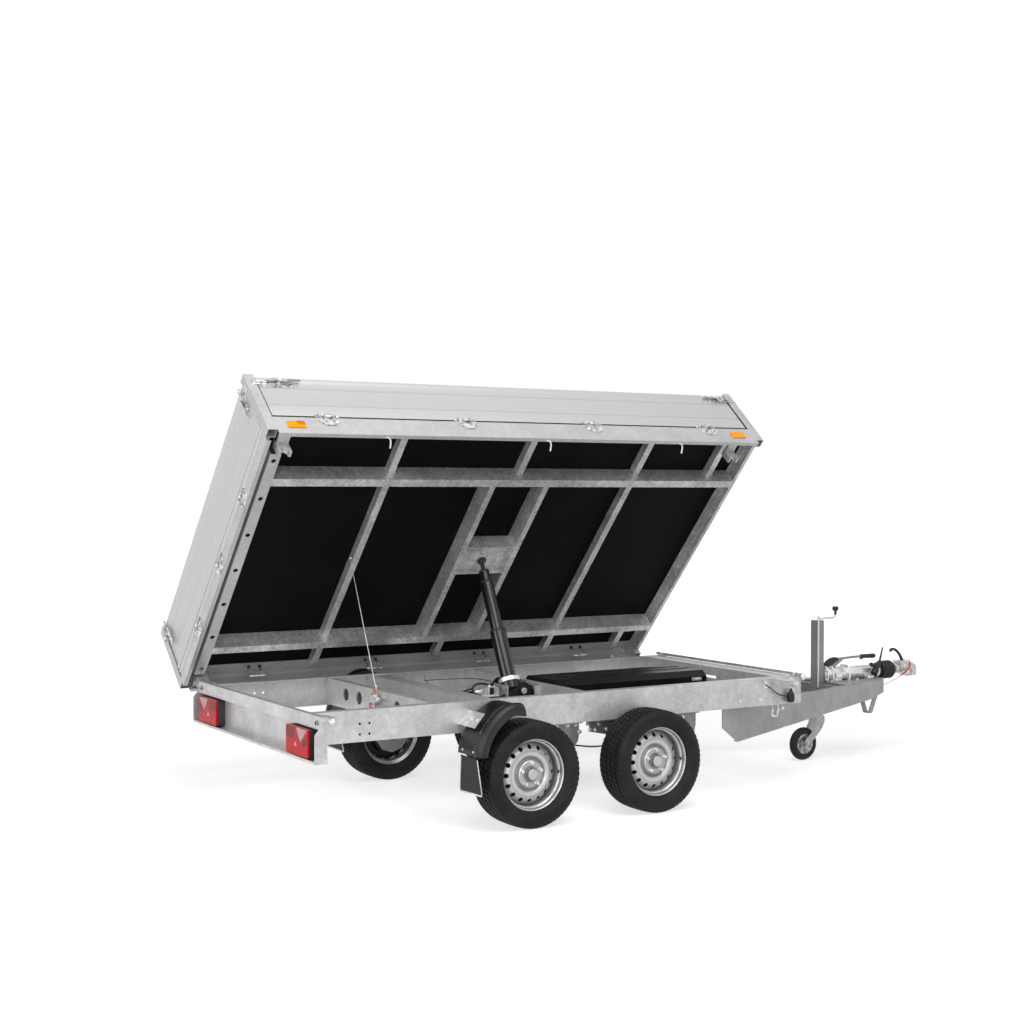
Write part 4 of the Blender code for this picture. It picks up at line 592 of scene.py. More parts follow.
def vented_ring():
    """Ring of the disc that holds the vents, one cell for each. In a cell the surface runs from the
    vent's rim to the cell's border in straight lines, and its height is read off the disc's line;
    inside the rim it turns down as a short wall."""
    low, high, half = disc_line[0, 0], disc_line[-1, 0], math.pi / VENTS
    steps = 8
    span = np.linspace(-1.0, 1.0, steps + 1)[:-1]
    one = np.ones(steps)
    border = np.concatenate([np.stack([one, span], 1), np.stack([-span, one], 1),
                             np.stack([-one, -span], 1), np.stack([span, -one], 1)])
    r_border = (low + high) / 2 + border[:, 0] * (high - low) / 2
    turn = border[:, 1] * half
    outer = np.stack([r_border * np.cos(turn), r_border * np.sin(turn)], 1)
    aim = np.arctan2(outer[:, 1], outer[:, 0] - vent_circle)
    ring_at = np.stack([np.cos(aim), np.sin(aim)], 1)
    rings = [np.array((vent_circle, 0)) + ring_at * (vent_radius - 0.0006)] * 2
    rings += [np.array((vent_circle, 0)) + ring_at * vent_radius]
    share = np.array((0.15, 0.4, 0.7, 1.0))[:, None, None]
    fan = rings[-1] * (1 - share) + outer * share
    flat = np.concatenate([np.stack(rings), fan])
    height = np.interp(np.linalg.norm(flat, axis=-1), disc_line[:, 0], disc_line[:, 1])
    height[0] += 0.0060
    height[1] += 0.0008
    angle = 2 * np.pi * np.arange(VENTS) / VENTS
    c, s = np.cos(angle)[:, None, None], np.sin(angle)[:, None, None]
    x = flat[None, :, :, 0] * c - flat[None, :, :, 1] * s
    z = flat[None, :, :, 0] * s + flat[None, :, :, 1] * c
    rows = np.stack([x, np.broadcast_to(height, x.shape), z], -1)
    cells, rings_n, around = rows.shape[:3]
    index = np.arange(cells * rings_n * around).reshape(cells, rings_n, around)
    here, after = index[:, :-1], index[:, 1:]
    quads = np.stack([here, np.roll(here, -1, 2), np.roll(after, -1, 2), after], -1).reshape(-1, 4)
    return rows.reshape(-1, 3), quads[:, ::-1], []


def disc_part(profile, count=VENTS * 8, loop=False):
    """Turned part of the wheel: radius and distance along the axle, outboard side -Y."""
    points, quads, caps = turned([(r, -y) for r, y in profile], count, loop)
    return outward(points[:, [0, 2, 1]] * (1.0, -1.0, 1.0), quads, caps)


hub_line = rounded([(0.0004, FACE + 0.0080), (0.0240, FACE + 0.0085), (0.0275, FACE + 0.0120),
                    (0.0285, FACE + 0.0330), (0.0330, FACE + 0.0360), (0.0400, FACE + 0.0320),
                    (0.0600, FACE + 0.0320), (0.0680, FACE + 0.0370), (0.0720, FACE + 0.0500),
                    (0.0780, FACE + 0.0520), (0.0850, FACE + 0.0420), (0.0960, FACE + 0.0350),
                    (0.1060, FACE + 0.0355), tuple(disc_line[0])], 0.0030, 3, False)
rim_line = rounded([tuple(disc_line[-1]), (0.1525, FACE + 0.0700), (0.1550, FACE + 0.0600),
                    (0.1565, FACE + 0.0420), (0.1590, FACE + 0.0330), (0.1650, FACE + 0.0290),
                    (0.1680, FACE + 0.0120), (0.1740, FACE + 0.0080), (0.1800, FACE + 0.0030),
                    (0.1835, FACE + 0.0004), (0.1850, FACE + 0.0020), (0.1845, FACE + 0.0060),
                    (0.1790, FACE + 0.0085), (0.1725, FACE + 0.0110), (0.1722, -FACE - 0.0110),
                    (0.1790, -FACE - 0.0085), (0.1845, -FACE - 0.0060), (0.1850, -FACE - 0.0020),
                    (0.1835, -FACE - 0.0004), (0.1800, -FACE - 0.0030), (0.1690, -FACE - 0.0120),
                    (0.1580, -FACE - 0.0200), (0.1500, -FACE - 0.0320), (0.1500, FACE + 0.0820)],
                   0.0025, 3, False)


def open_turned(line, count=VENTS * 8):
    """Line of (radius, distance along the axle) carried round the axle, left open at both ends."""
    radius, across = np.array(line).T
    turn = 2 * np.pi * np.arange(count) / count
    rows = np.stack([radius[:, None] * np.cos(turn), across[:, None] + 0.0 * turn,
                     radius[:, None] * np.sin(turn)], -1)
    index = np.arange(len(line) * count).reshape(len(line), count)
    quads = np.stack([index[:-1], np.roll(index[:-1], -1, 1), np.roll(index[1:], -1, 1), index[1:]], -1)
    return rows.reshape(-1, 3), quads.reshape(-1, 4), []


drum = disc_part(rounded([(0.0215, FACE + 0.0560), (0.1000, FACE + 0.0600), (0.1080, FACE + 0.0640),
                          (0.1080, 0.0100), (0.1440, 0.0120), (0.1440, 0.0200), (0.1120, 0.0260),
                          (0.1120, 0.0740), (0.0215, 0.0740)],
                         0.004, 3), 64, True)
BOLT_CIRCLE = 0.0560
bolt_head = turned([(0.0120, 0.0), (0.0120, 0.0030), (0.0098, 0.0050), (0.0098, 0.0135), (0.0080, 0.0155)], 6)
wheel_bolts = merged([
    moved(bolt_head, (BOLT_CIRCLE * math.cos(a), FACE + 0.0335, BOLT_CIRCLE * math.sin(a)), "-y",
          math.degrees(a))
    for a in 2 * np.pi * (np.arange(5) + 0.25) / 5])
valve = turned_at([(0.0052, -0.012), (0.0055, 0.004), (0.0038, 0.010), (0.0036, 0.024), (0.0042, 0.026),
                   (0.0042, 0.034), (0.0030, 0.036)], (0.1585, FACE + 0.0330, 0.0), (-0.55, -0.83, 0.0),
                  count=12, soft=0.0012)


def silver(name, light=0.62):
    """Silver lacquer: fine metal flakes under a clear coat, greyed a little by road film; most of its tone is
    painted shade, darker in the creases, read from a point attribute set on each wheel.
    """
    material, start, shader, where = finish(name, (light,) * 3, 0.34, 0.55, 0.25)
    film = noise(where, 11.0, 4.0)
    crease = start.node("Attribute", {"attribute_name": "crease"}, out=2)
    tone = film.above(0.5, 0.6) * 0.16 + crease * 0.84
    feed(shader, Base_Color=tone.blend(grey(light * 0.10), grey(light)), Roughness=film * 0.2 + 0.26)
    bumped(shader, noise(where, 500.0, 2.0), 0.0001)
    return material


wheel_silver = silver("wheel_silver")
# columns: radius, brightness there; painted shade that darkens the disc in the creases where the pressed
# bands meet
PAINTED_SHADE_BY_RADIUS = np.array([(0.0, 0.86), (0.022, 0.80), (0.026, 1.0), (0.0285, 0.30), (0.034, 0.25), (0.042, 0.62),
                    (0.060, 0.66), (0.067, 1.0), (0.070, 0.70), (0.075, 0.30), (0.079, 0.36),
                    (0.084, 0.72), (0.095, 1.0), (0.107, 0.86), (0.113, 0.50), (0.117, 0.80),
                    (0.130, 0.95), (0.146, 0.80), (0.151, 0.30), (0.1545, 0.20), (0.1565, 0.62),
                    (0.159, 1.0), (0.164, 0.90), (0.1665, 0.45), (0.169, 0.60), (0.173, 1.0), (0.186, 1.0)])
drum_black = rubber("drum_paint", 0.006, 0.5, 0.2)
face_parts = merged(open_turned(hub_line), vented_ring(), open_turned(rim_line))
for name, axle_x, side in WHEELS:
    place = at_hub(axle_x, side)
    body = f"wheel_{name}"
    wheel = show(f"wheel_disc_{name}", face_parts, wheel_silver, body, [f"rim_{name}"],
                 place, 45.0)
    # Painted shade: each point of the wheel face is darkened by its radius, most in the creases
    crease = wheel.data.attributes.new("crease", "FLOAT", "POINT")
    reach = np.hypot(face_parts[0][:, 0], face_parts[0][:, 2])
    crease.data.foreach_set("value", np.interp(reach, PAINTED_SHADE_BY_RADIUS[:, 0], PAINTED_SHADE_BY_RADIUS[:, 1]).astype(np.float32))
    for part_name, part, material, slot in (("brake_drum", drum, drum_black, "black_paint"),
                                            ("wheel_bolts", wheel_bolts, zinc_plate, "zinc"),
                                            ("valve", valve, tyre_rubber, "black_rubber")):
        show(f"{part_name}_{name}", part, material, body, (), place, 35.0)


# Tail lamps: two per beam, a black moulded housing in the beam's recess and a red lens with a clear
# reversing corner and a bright triangular reflector, held by screws from behind
def plastic(name, tone, rough=0.45, coat=0.0, gloss=0.35):
    """Moulded black plastic: fine grain, greyed where it is dusty."""
    material, start, shader, where = finish(name, (tone,) * 3, rough, 0.0, coat, gloss)
    dust = noise(where, 9.0, 4.0)
    feed(shader, Base_Color=dust.above(0.55, 0.4).blend(grey(tone * 0.8), grey(tone * 1.7)),
         Roughness=dust * 0.2 + (rough - 0.1))
    bumped(shader, noise(where, 900.0, 2.0), 0.0002)
    return material


def lens_plastic(name, colour, dark):
    """Clear coloured plastic over small prisms, which show as a fine grid of light and dark."""
    material, start, shader, where = finish(name, colour, 0.22, 0.0, 0.0, 0.12)
    cells = where.node("TexVoronoi", {"distance": "CHEBYCHEV"},
                       {"Vector": where, "Scale": 150.0, "Randomness": 0.0})
    shade = cells.above(0.28, 0.25) * 0.5 + noise(where, 30.0, 2.0).above(0.5, 0.5) * 0.35
    feed(shader, Base_Color=shade.blend((*colour, 1.0), (*dark, 1.0)), Roughness=shade * 0.12 + 0.20)
    bumped(shader, cells, 0.00005)
    return material


black_plastic = plastic("black_plastic", 0.022, 0.42)
lens_red = lens_plastic("lens_red", (0.66, 0.004, 0.010), (0.46, 0.002, 0.006))
lens_dark = lens_plastic("lens_dark_red", (0.30, 0.030, 0.026), (0.16, 0.012, 0.010))
lens_clear = lens_plastic("lens_clear", (0.62, 0.56, 0.54), (0.40, 0.30, 0.28))
reflector = lens_plastic("lens_reflector", (0.80, 0.74, 0.70), (0.50, 0.40, 0.38))
LENS_Y, LENS_Z = (-0.7000, -0.4480), (0.4145, 0.5490)
LAMP_SHIFT = 0.0145
lens_face, lens_back, recess_back = -1.5015, -1.4895, -1.4498


def lens_patch(shares, radius=0.003):
    """Patch on the lens from corners given as shares of its width, from inboard, and of its height."""
    corners = [(LENS_Y[1] + (LENS_Y[0] - LENS_Y[1]) * across, LENS_Z[1] + (LENS_Z[0] - LENS_Z[1]) * down)
               for across, down in shares]
    return flat_on(slab(rounded(corners, radius), lens_face - 0.0006, lens_face + 0.0020, 0.0004), "yz")


shell_y, shell_z = (LENS_Y[0] + 0.003, LENS_Y[1] - 0.003), (LENS_Z[0] + 0.002, LENS_Z[1] - 0.002)
lamp_shell = merged(
    flat_on(block(shell_y, shell_z, (lens_back - 0.0002, recess_back), 0.008, 0.002), "yz"),
    flat_on(block((LENS_Y[0] - 0.050, LENS_Y[0] + 0.010), LENS_Z, (-1.4600, recess_back), 0.010, 0.002),
            "yz"))
lamp_lens = flat_on(block(LENS_Y, LENS_Z, (lens_face, lens_back), 0.012, 0.0030), "yz")
lamp_shades = merged(lens_patch([(0.03, 0.04), (0.44, 0.04), (0.34, 0.42), (0.03, 0.44)], 0.006),
                     lens_patch([(0.72, 0.52), (0.97, 0.20), (0.97, 0.50), (0.80, 0.66)], 0.004))
lamp_forms = (
    ("lamp_housing", lamp_shell, black_plastic, "black_plastic"),
    ("lamp_body", lamp_lens, lens_red, "lamp_red"),
    ("lamp_shade", lamp_shades, lens_dark, "lamp_red"),
    ("lamp_clear", lens_patch([(0.47, 0.03), (0.95, 0.04), (0.66, 0.50)], 0.006), lens_clear, "lamp_red"),
    ("lamp_reflector", lens_patch([(0.38, 0.68), (0.50, 0.68), (0.44, 0.52)], 0.002), reflector, "lamp_red"))
for name, part, material, slot in lamp_forms:
    hidden = ["tail_lamp_near", "tail_lamp_far"] if name == "lamp_body" else []
    show(name, repeated(both_sides(part), [(0.0, LAMP_SHIFT, 0.0)]), material, replaces=hidden)


# Mudguards: black moulded plastic arches over the back of the rear wheels, with a rolled bead along
# the outer edge, screwed to a galvanised strap; a rubber flap with a pale border hangs from each
def sheet_line(line, thickness):
    """Outline of a bent sheet: the line, and the line moved along its normals by the thickness."""
    line = np.array(line, dtype=float)
    along = np.gradient(line, axis=0)
    along /= np.linalg.norm(along, axis=1)[:, None]
    normal = np.stack([along[:, 1], -along[:, 0]], 1)
    return np.concatenate([line, (line - normal * thickness)[::-1]])


# columns: x, z of the bead's crown from the front end over the top and down the back
guard_crown = [(-0.4280, 0.6130), (-0.4600, 0.6190), (-0.5050, 0.6200), (-0.5500, 0.6060),
               (-0.6000, 0.5720), (-0.6450, 0.5260), (-0.6770, 0.4780), (-0.6970, 0.4300),
               (-0.7060, 0.4000), (-0.7070, 0.3760)]
crown_line = flowing(guard_crown, 5)
guard_path = np.column_stack([crown_line[:, 0], np.full(len(crown_line), -0.7580), crown_line[:, 1]])
bead = [(0.060, -0.0930), (0.0560, -0.1040), (0.0440, -0.1086), (0.0280, -0.1090), (0.0140, -0.1040),
        (0.0040, -0.0930), (0.0000, -0.0790), (0.0010, -0.0640), (0.0060, -0.0510), (0.0130, -0.0430),
        (0.0140, -0.0380)]
flat_top = [(0.0090, -0.0330), (0.0080, 0.0), (0.0080, 0.060), (0.0080, 0.095), (0.0100, 0.1060),
            (0.0210, 0.1095)]
sheet = sheet_line(flowing(bead + flat_top, 3), -0.0035)
distance = np.concatenate([[0.0], np.cumsum(np.linalg.norm(np.diff(crown_line, axis=0), axis=1))])
close = np.sqrt(np.clip(1.0 - (1.0 - np.clip(distance / 0.030, 0.0, 1.0)) ** 2, 0.02, 1.0))[:, None]
nose = np.stack([0.060 + (sheet[None, :, 0] - 0.060) * close, sheet[None, :, 1] * (0.94 + 0.06 * close)], -1)
guard = carried(guard_path, nose, up=(0.0, 1.0, 0.0))


FLAP_PIN_Z, FLAP_LEAN = 0.362, 0.12


def hung(part):
    """A flap drawn upright, its foot swung forward: x grows with the depth below its screws."""
    points, quads, caps = part
    forward = (FLAP_PIN_Z - points[:, 2:]) * FLAP_LEAN
    return points + forward * (1.0, 0.0, 0.0), quads, caps


flap_x = -0.7030
flap_line = rounded([(-0.8670, 0.1880), (-0.6430, 0.1840), (-0.6900, 0.3700), (-0.8530, 0.3700)],
                    (0.016, 0.016, 0.003, 0.003))
flap = hung(flat_on(slab(flap_line, flap_x - 0.0022, flap_x + 0.0022), "yz"))
border_line = rounded([(-0.8495, 0.3640), (-0.8625, 0.1930), (-0.6490, 0.1890), (-0.6930, 0.3640)],
                      (0.0, 0.016, 0.016, 0.0), 6, False)
border_path = np.column_stack([np.full(len(border_line), flap_x - 0.0026), border_line])
border = hung(carried(border_path, [(-0.0040, -0.0006), (0.0040, -0.0006), (0.0040, 0.0006),
                                    (-0.0040, 0.0006)], up=(1.0, 0.0, 0.0)))
screw_head = moved(turned([(0.0060, 0.0), (0.0055, 0.0022), (0.003, 0.0034)], 12), axis="-x")
guard_screws = repeated(screw_head, [(-0.6990, y, 0.396) for y in (-0.80, -0.70)])
strap_line = [(-0.6900, 0.5080), (-0.6350, 0.5740), (-0.6375, 0.5760), (-0.6925, 0.5100)]
guard_strap = merged(
    skin(np.array([[(x, y, z) for x, z in strap_line] for y in (-0.8000, -0.6410)])),
    [moved(bolt(0.008), (-0.6640, y, 0.5430), (-0.76, 0.0, 0.65)) for y in (-0.776, -0.720)])
guard_black = plastic("guard_black", 0.0125, 0.34, 0.0, 0.32)
flap_rubber = rubber("flap_rubber", 0.008, 0.55)
flap_white = plastic("flap_border", 0.80, 0.5)
show("mudguard_arch", both_sides(guard), guard_black,
     replaces=["mudguard_near", "mudguard_far"], sharp=50.0)
show("mudguard_flap", both_sides(flap), flap_rubber)
show("flap_border", both_sides(border), flap_white)
show("mudguard_screws", both_sides(guard_screws), zinc_plate)
show("mudguard_straps", both_sides(guard_strap), bright_zinc("strap_zinc", 0.80, 0.40))


# Bed frame: galvanised sheet, rougher and darker below, with a bright rolled rail along the side
# rims under the boards; the floor is a black film-faced panel
bed_zinc = galvanised("galvanised_bed", 0.23, 0.84, 2.0)
rim_zinc = galvanised("galvanised_rims", 0.42, 0.60)
recoat(["long_beam_near", "long_beam_far", "cross_member_rear", "cross_member_front", "crosshead",
        "bed_rim_front"], bed_zinc)
recoat(["bed_rim_near", "bed_rim_far", "bed_rim_rear", "post_rear_near", "post_rear_far"], rim_zinc)
floor_film, start, shader, where = finish("floor_film", (0.004,) * 3, 0.55, 0.0, 0.0, 0.06)
scuffs = noise(where, 3.0, 5.0)
feed(shader, Base_Color=scuffs.above(0.6, 0.4).blend(grey(0.0016), grey(0.0045)),
     Roughness=scuffs * 0.2 + 0.46)
recoat(["bed_floor"], floor_film)

REAR_END, FRONT_END, SIDE = -1.5280, 1.5170, 0.9127
RIM_TOP, REAR_RIM_TOP = 0.750, 0.687
rail_line = rounded([(0.0, 0.7190), (0.0042, 0.7215), (0.0048, 0.7420), (0.0020, 0.7492), (0.0, 0.7492)],
                    (0.0005, 0.003, 0.004, 0.001, 0.0005), 4)
rim_rail = carried([(x, -SIDE, 0.0) for x in (REAR_END + 0.052, FRONT_END - 0.052)], rail_line * (-1.0, 1.0))
show("rim_rails", both_sides(rim_rail), rim_zinc, "bed", (), BED)


# Drop sides, tailgate and headboard: hollow aluminium extrusions, three to a board, anodised, with
# a groove at each joint, ribs inside and a rolled top edge
FACE_IN, BOARD_THICK, BOARD_TOP = 0.0077, 0.025, 1.0650


def board_outline(low, grooves, thick=BOARD_THICK):
    """Section (depth from the outer face, height): flat panels, V grooves, ribs and a round top."""
    outer = [(0.0040, low), (0.0008, low + 0.0012), (0.0, low + 0.004)]
    for z in grooves:
        outer += [(0.0, z - 0.0050), (0.0030, z - 0.0020), (0.0030, z + 0.0004), (-0.0008, z + 0.0030),
                  (0.0, z + 0.0060)]
    outer += [(0.0, 1.0350), (-0.0012, 1.0375), (-0.0012, BOARD_TOP - 0.006), (0.0030, BOARD_TOP),
              (thick - 0.005, BOARD_TOP), (thick, BOARD_TOP - 0.005)]
    inner = []
    for z in np.arange(1.030, low + 0.015, -0.040):
        inner += [(thick, z + 0.003), (thick - 0.002, z + 0.001), (thick - 0.002, z - 0.001),
                  (thick, z - 0.003)]
    return np.array(outer + inner + [(thick, low)])


def aluminium(name, light, along):
    """Anodised aluminium with the fine die lines of the extrusion, which run along the board."""
    material, start, shader, where = finish(name, (light,) * 3, 0.40, 0.35)
    squeeze = (0.6, 60.0, 60.0) if along == "x" else (60.0, 0.6, 60.0)
    lines = noise(where, 9.0, 3.0, 0.6, squeeze)
    clouds = noise(where, 1.6, 3.0)
    tone = lines * 0.35 + clouds * 0.45 + 0.1
    feed(shader, Base_Color=tone.blend(grey(light * 0.90), grey(light)), Roughness=lines * 0.16 + 0.32)
    bumped(shader, lines, 0.00012)
    return material


# The side boards are a little darker than the ends (0.56 against 0.60): painted shade on the sides and
# painted light on the ends, set so the two faces match under the lamps
board_metal = aluminium("aluminium_sides", 0.56, "x")
gate_metal = aluminium("aluminium_ends", 0.60, "y")
x_ends = (REAR_END + 0.0557, FRONT_END - 0.0557)
near_board = carried([(x, FACE_IN - SIDE, 0.0) for x in x_ends],
                     board_outline(RIM_TOP + 0.0060, (0.851, 0.979)) * (-1.0, 1.0))
y_end = SIDE - 0.0557
gate_profile = board_outline(REAR_RIM_TOP + 0.0035, (0.772, 0.851, 0.979))
gate = carried([(REAR_END + FACE_IN, y, 0.0) for y in (-y_end, y_end)], gate_profile)
head_wall = carried([(FRONT_END - FACE_IN, y, 0.0) for y in (-SIDE + 0.0495, SIDE - 0.0495)],
                    board_outline(RIM_TOP + 0.0005, (0.851, 0.979)) * (-1.0, 1.0))
post_line = rounded(box_line((FRONT_END - 0.05, FRONT_END), (-SIDE, -SIDE + 0.05)), 0.004)
post_bore = rounded(box_line((FRONT_END - 0.047, FRONT_END - 0.003), (-SIDE + 0.003, -SIDE + 0.047)), 0.003)
front_post = merged(tube_of(post_line, post_bore, 0.6545, 1.0700),
                    flat_on(slab(post_line, 1.0700, 1.0745, 0.001), "xy"))
show("near_board_panel", near_board, board_metal, "near_board", ["near_board"], BED)
show("far_board_panel", other_side(near_board), board_metal, "far_board", ["far_board"], BED)
show("tailgate_panel", gate, gate_metal, "tailgate", ["tailgate"], BED)
show("headboard_panel", head_wall, gate_metal, "bed", ["headboard"], BED)
show("front_posts", both_sides(front_post), rim_zinc, "bed", (), BED)


def gate_rail(near_end, far_end, low, high, height):
    """Raised strip across the tailgate's outer face, between two heights, with softened edges."""
    x = REAR_END + FACE_IN - 0.0002
    outline = rounded([(-height, low + 0.003), (0.0, low), (0.0, high), (-height, high - 0.003)], 0.0015, 3)
    return carried([(x, near_end, 0.0), (x, far_end, 0.0)], outline)


# columns: near end, far end, lower edge, upper edge, height; the lowest row is broken by the hinges
rail_bits = [gate_rail(*row) for row in (
    (-y_end, y_end, 0.7440, 0.7690, 0.0060),
    (-y_end, y_end, 0.7180, 0.7400, 0.0035),
    (-0.815, -0.520, 0.6960, 0.7130, 0.0060),
    (-0.400, -0.060, 0.6960, 0.7130, 0.0060),
    (0.060, 0.400, 0.6960, 0.7130, 0.0060),
    (0.520, 0.815, 0.6960, 0.7130, 0.0060))]
show("tailgate_rails", merged(rail_bits), gate_metal, "tailgate", (), BED)


# Gap strips: thin black strips along the side boards' ends and lower edges, and beside the tailgate;
# they fill the gaps to the posts and rims with black as painted shade
gap_face_y, gap_face_x = FACE_IN - SIDE, REAR_END + FACE_IN
gap_strip_y = (gap_face_y - 0.0006, gap_face_y + 0.0040)
board_gap_shade = merged(
    slab(box_line((x_ends[0] - 0.0040, x_ends[1] + 0.0040), gap_strip_y), RIM_TOP + 0.0012, RIM_TOP + 0.0190,
         0.0003),
    [slab(box_line((low, low + 0.0085), gap_strip_y), RIM_TOP + 0.0040, BOARD_TOP - 0.006, 0.0003)
     for low in (x_ends[0] - 0.0048, x_ends[1] - 0.0037)])
gap_shade_black = rubber("gap_shade_black", 0.004, 0.6, 0.10)
show("near_board_gap_shade", board_gap_shade, gap_shade_black, "near_board", (), BED)
show("far_board_gap_shade", other_side(board_gap_shade), gap_shade_black, "far_board", (), BED)
gate_gap_shade = [slab(box_line((gap_face_x + 0.0005, gap_face_x + 0.0180), (low, low + 0.0052)),
                   REAR_RIM_TOP + 0.0002, BOARD_TOP - 0.004, 0.0003)
              for low in (-y_end - 0.0054, y_end + 0.0002)]
show("gate_gap_shade", merged(gate_gap_shade), gap_shade_black, "bed", (), BED)


# Hinges: bright zinc castings with webs and screws, one leaf on the board and one on the rim, on a
# common pin that stands in front of the gap
HINGE_REACH = 0.0088 + FACE_IN


def hinge_leaves(width):
    """One hinge in its own frame: x along the pin, y up the board, z out from the board's face.
    Returns the board's half and the rim's half; the pin is HINGE_REACH in front of the board."""
    reach = HINGE_REACH
    leaf = slab(rounded([(-width / 2, 0.008), (-width * 0.32, 0.005), (width * 0.32, 0.005),
                         (width / 2, 0.008), (width / 2, 0.022), (width * 0.24, 0.030),
                         (-width * 0.24, 0.030), (-width / 2, 0.022)], 0.005),
                0.0, 0.0045, 0.0012)
    arm = block((-0.014, 0.014), (-0.004, 0.022), (0.0, reach + 0.001), 0.004, 0.002)
    ribs = [slab(box_line((x - 0.002, x + 0.002), (0.004, 0.027)), 0.004, 0.0125, 0.001)
            for x in (-0.044, -0.026, 0.026, 0.044)]
    knuckle = turned_at([(0.0062, -0.015), (0.0078, -0.0135), (0.0078, 0.0135), (0.0062, 0.015)],
                        (0.0, 0.0, reach), "x")
    screws = [moved(turned([(0.0075, 0.0), (0.0070, 0.0024), (0.0035, 0.0036)], 12), (x, y, 0.0045))
              for x, y in ((-width * 0.42, 0.015), (width * 0.42, 0.015), (-0.020, 0.024), (0.020, 0.024))]
    lower = slab(rounded([(-width * 0.34, -0.004), (width * 0.34, -0.004), (width * 0.46, -0.024),
                          (width * 0.20, -0.060), (-width * 0.20, -0.060), (-width * 0.46, -0.024)],
                         0.006), 0.0079, 0.0122, 0.0012)
    ears = [turned_at([(0.0060, -0.005), (0.0080, -0.004), (0.0080, 0.004), (0.0060, 0.005)],
                      (x, 0.0, reach), "x") for x in (-0.0205, 0.0205)]
    webs = [block((x - 0.003, x + 0.003), (0.006, -0.046), (0.0079, reach * 0.96), 0.001, 0.0012)
            for x in (-0.0205, 0.0205)]
    head_places = ((-0.042, -0.020), (0.042, -0.020), (-0.006, -0.046), (0.008, -0.030))
    heads = [moved(bolt(0.007), (x, y, 0.0122)) for x, y in head_places]
    return merged(leaf, arm, ribs, knuckle, screws), merged(lower, ears, webs, heads)


def on_board(part, centre, wall):
    """Stands a hinge or latch on a wall: near takes its x along the trailer and its z to the near
    side; rear takes its x across the trailer and its z to the rear."""
    points, quads, caps = part
    order = {"near": ([0, 2, 1], (1, -1, 1)), "rear": ([2, 0, 1], (-1, 1, 1))}[wall]
    return outward(points[:, order[0]] * order[1] + np.array(centre, dtype=float), quads, caps)


first, last = REAR_END + 0.343, FRONT_END - 0.354
board_half, rim_half = hinge_leaves(0.132)
near_places = [(x, FACE_IN - SIDE, RIM_TOP + 0.0015) for x in np.linspace(first, last, 4)]
upper = merged([on_board(board_half, place, "near") for place in near_places])
lower = merged([on_board(rim_half, place, "near") for place in near_places])
gate_places = [(REAR_END + FACE_IN, y, REAR_RIM_TOP + 0.0015) for y in (-0.46, 0.0, 0.46)]
# The deep dark clouds of these two zincs are painted shade: though placed at random, they stand in for the
# shadows among the small parts of hinges, latches and loops
casting = bright_zinc("hinge_casting", 0.86, 0.34, 0.30, 50.0)
fitting_zinc = bright_zinc("fitting_zinc", 0.84, 0.30, 0.26, 40.0)
show("near_hinge_leaves", upper, casting, "near_board", (), BED)
show("far_hinge_leaves", other_side(upper), casting, "far_board", (), BED)
show("rim_hinge_leaves", both_sides(lower), casting, "bed", (), BED)
show("gate_hinge_leaves", merged([on_board(board_half, place, "rear") for place in gate_places]),
     casting, "tailgate", (), BED)
show("rear_rim_hinge_leaves", merged([on_board(rim_half, place, "rear") for place in gate_places]),
     casting, "bed", (), BED)


# Corner latches: over-centre fasteners of zinc-plated steel. Lever, cheeks and wire hook ride on the
# board, screwed near its end; the keeper is screwed to the post, and the hook closes round it.
def corner_latch(length):
    """Latch in its own frame: x from the corner inwards, y up, z out from the board's face."""
    base = block((0.016, length), (-0.024, 0.016), (0.0, 0.003), 0.006, 0.0008)
    cheeks = [block((0.040, 0.120), (y - 0.0015, y + 0.0015), (0.002, 0.018), 0.001) for y in (-0.016, 0.010)]
    pin = moved(turned([(0.0035, -0.020), (0.0035, 0.014)], 10), (0.060, 0.0, 0.0120), "y")
    handle_path = rounded([(0.050, 0.016, 0.0130), (0.080, 0.018, 0.0165), (0.150, 0.020, 0.0140),
                           (length + 0.040, 0.018, 0.0175)],
                          0.02, 4, False)
    widths = np.interp(handle_path[:, 0], (0.050, 0.080, length, length + 0.040),
                       (0.012, 0.012, 0.009, 0.006))
    lever = carried(handle_path, np.stack([np.stack([sx * widths, np.full(len(widths), sz * 0.0022)], 1)
                                           for sx, sz in ((-1, -1), (1, -1), (1, 1), (-1, 1))], 1))
    hook = carried(rounded([(0.072, 0.006, 0.0100), (-0.022, 0.006, 0.0120), (-0.022, -0.012, 0.0120),
                            (0.072, -0.012, 0.0100)],
                           0.008, 5, False), ring(0.0030, 8))
    screws = [moved(turned([(0.0060, 0.0), (0.0055, 0.0022), (0.0025, 0.0030)], 10), (x, y, 0.003))
              for x in (0.026, length - 0.016) for y in (-0.016, 0.008)]
    keeper = slab(rounded([(-0.036, -0.017), (-0.014, -0.020), (-0.014, 0.014), (-0.036, 0.010)], 0.004),
                  -0.0070, 0.0080, 0.002)
    nose = turned_at([(0.0085, -0.0190), (0.0095, -0.0180), (0.0095, 0.0120), (0.0085, 0.0130)],
                     (-0.022, 0.0, 0.0070), "y", count=14)
    return merged(base, cheeks, pin, lever, hook, screws), merged(keeper, nose)


def backwards(part):
    points, quads, caps = part
    return outward(points * (-1.0, 1.0, 1.0), quads, caps)


def upright(part):
    """A latch turned from lying along its wall to standing down it."""
    points, quads, caps = part
    return outward(points[:, [1, 0, 2]] * (1.0, -1.0, 1.0), quads, caps)


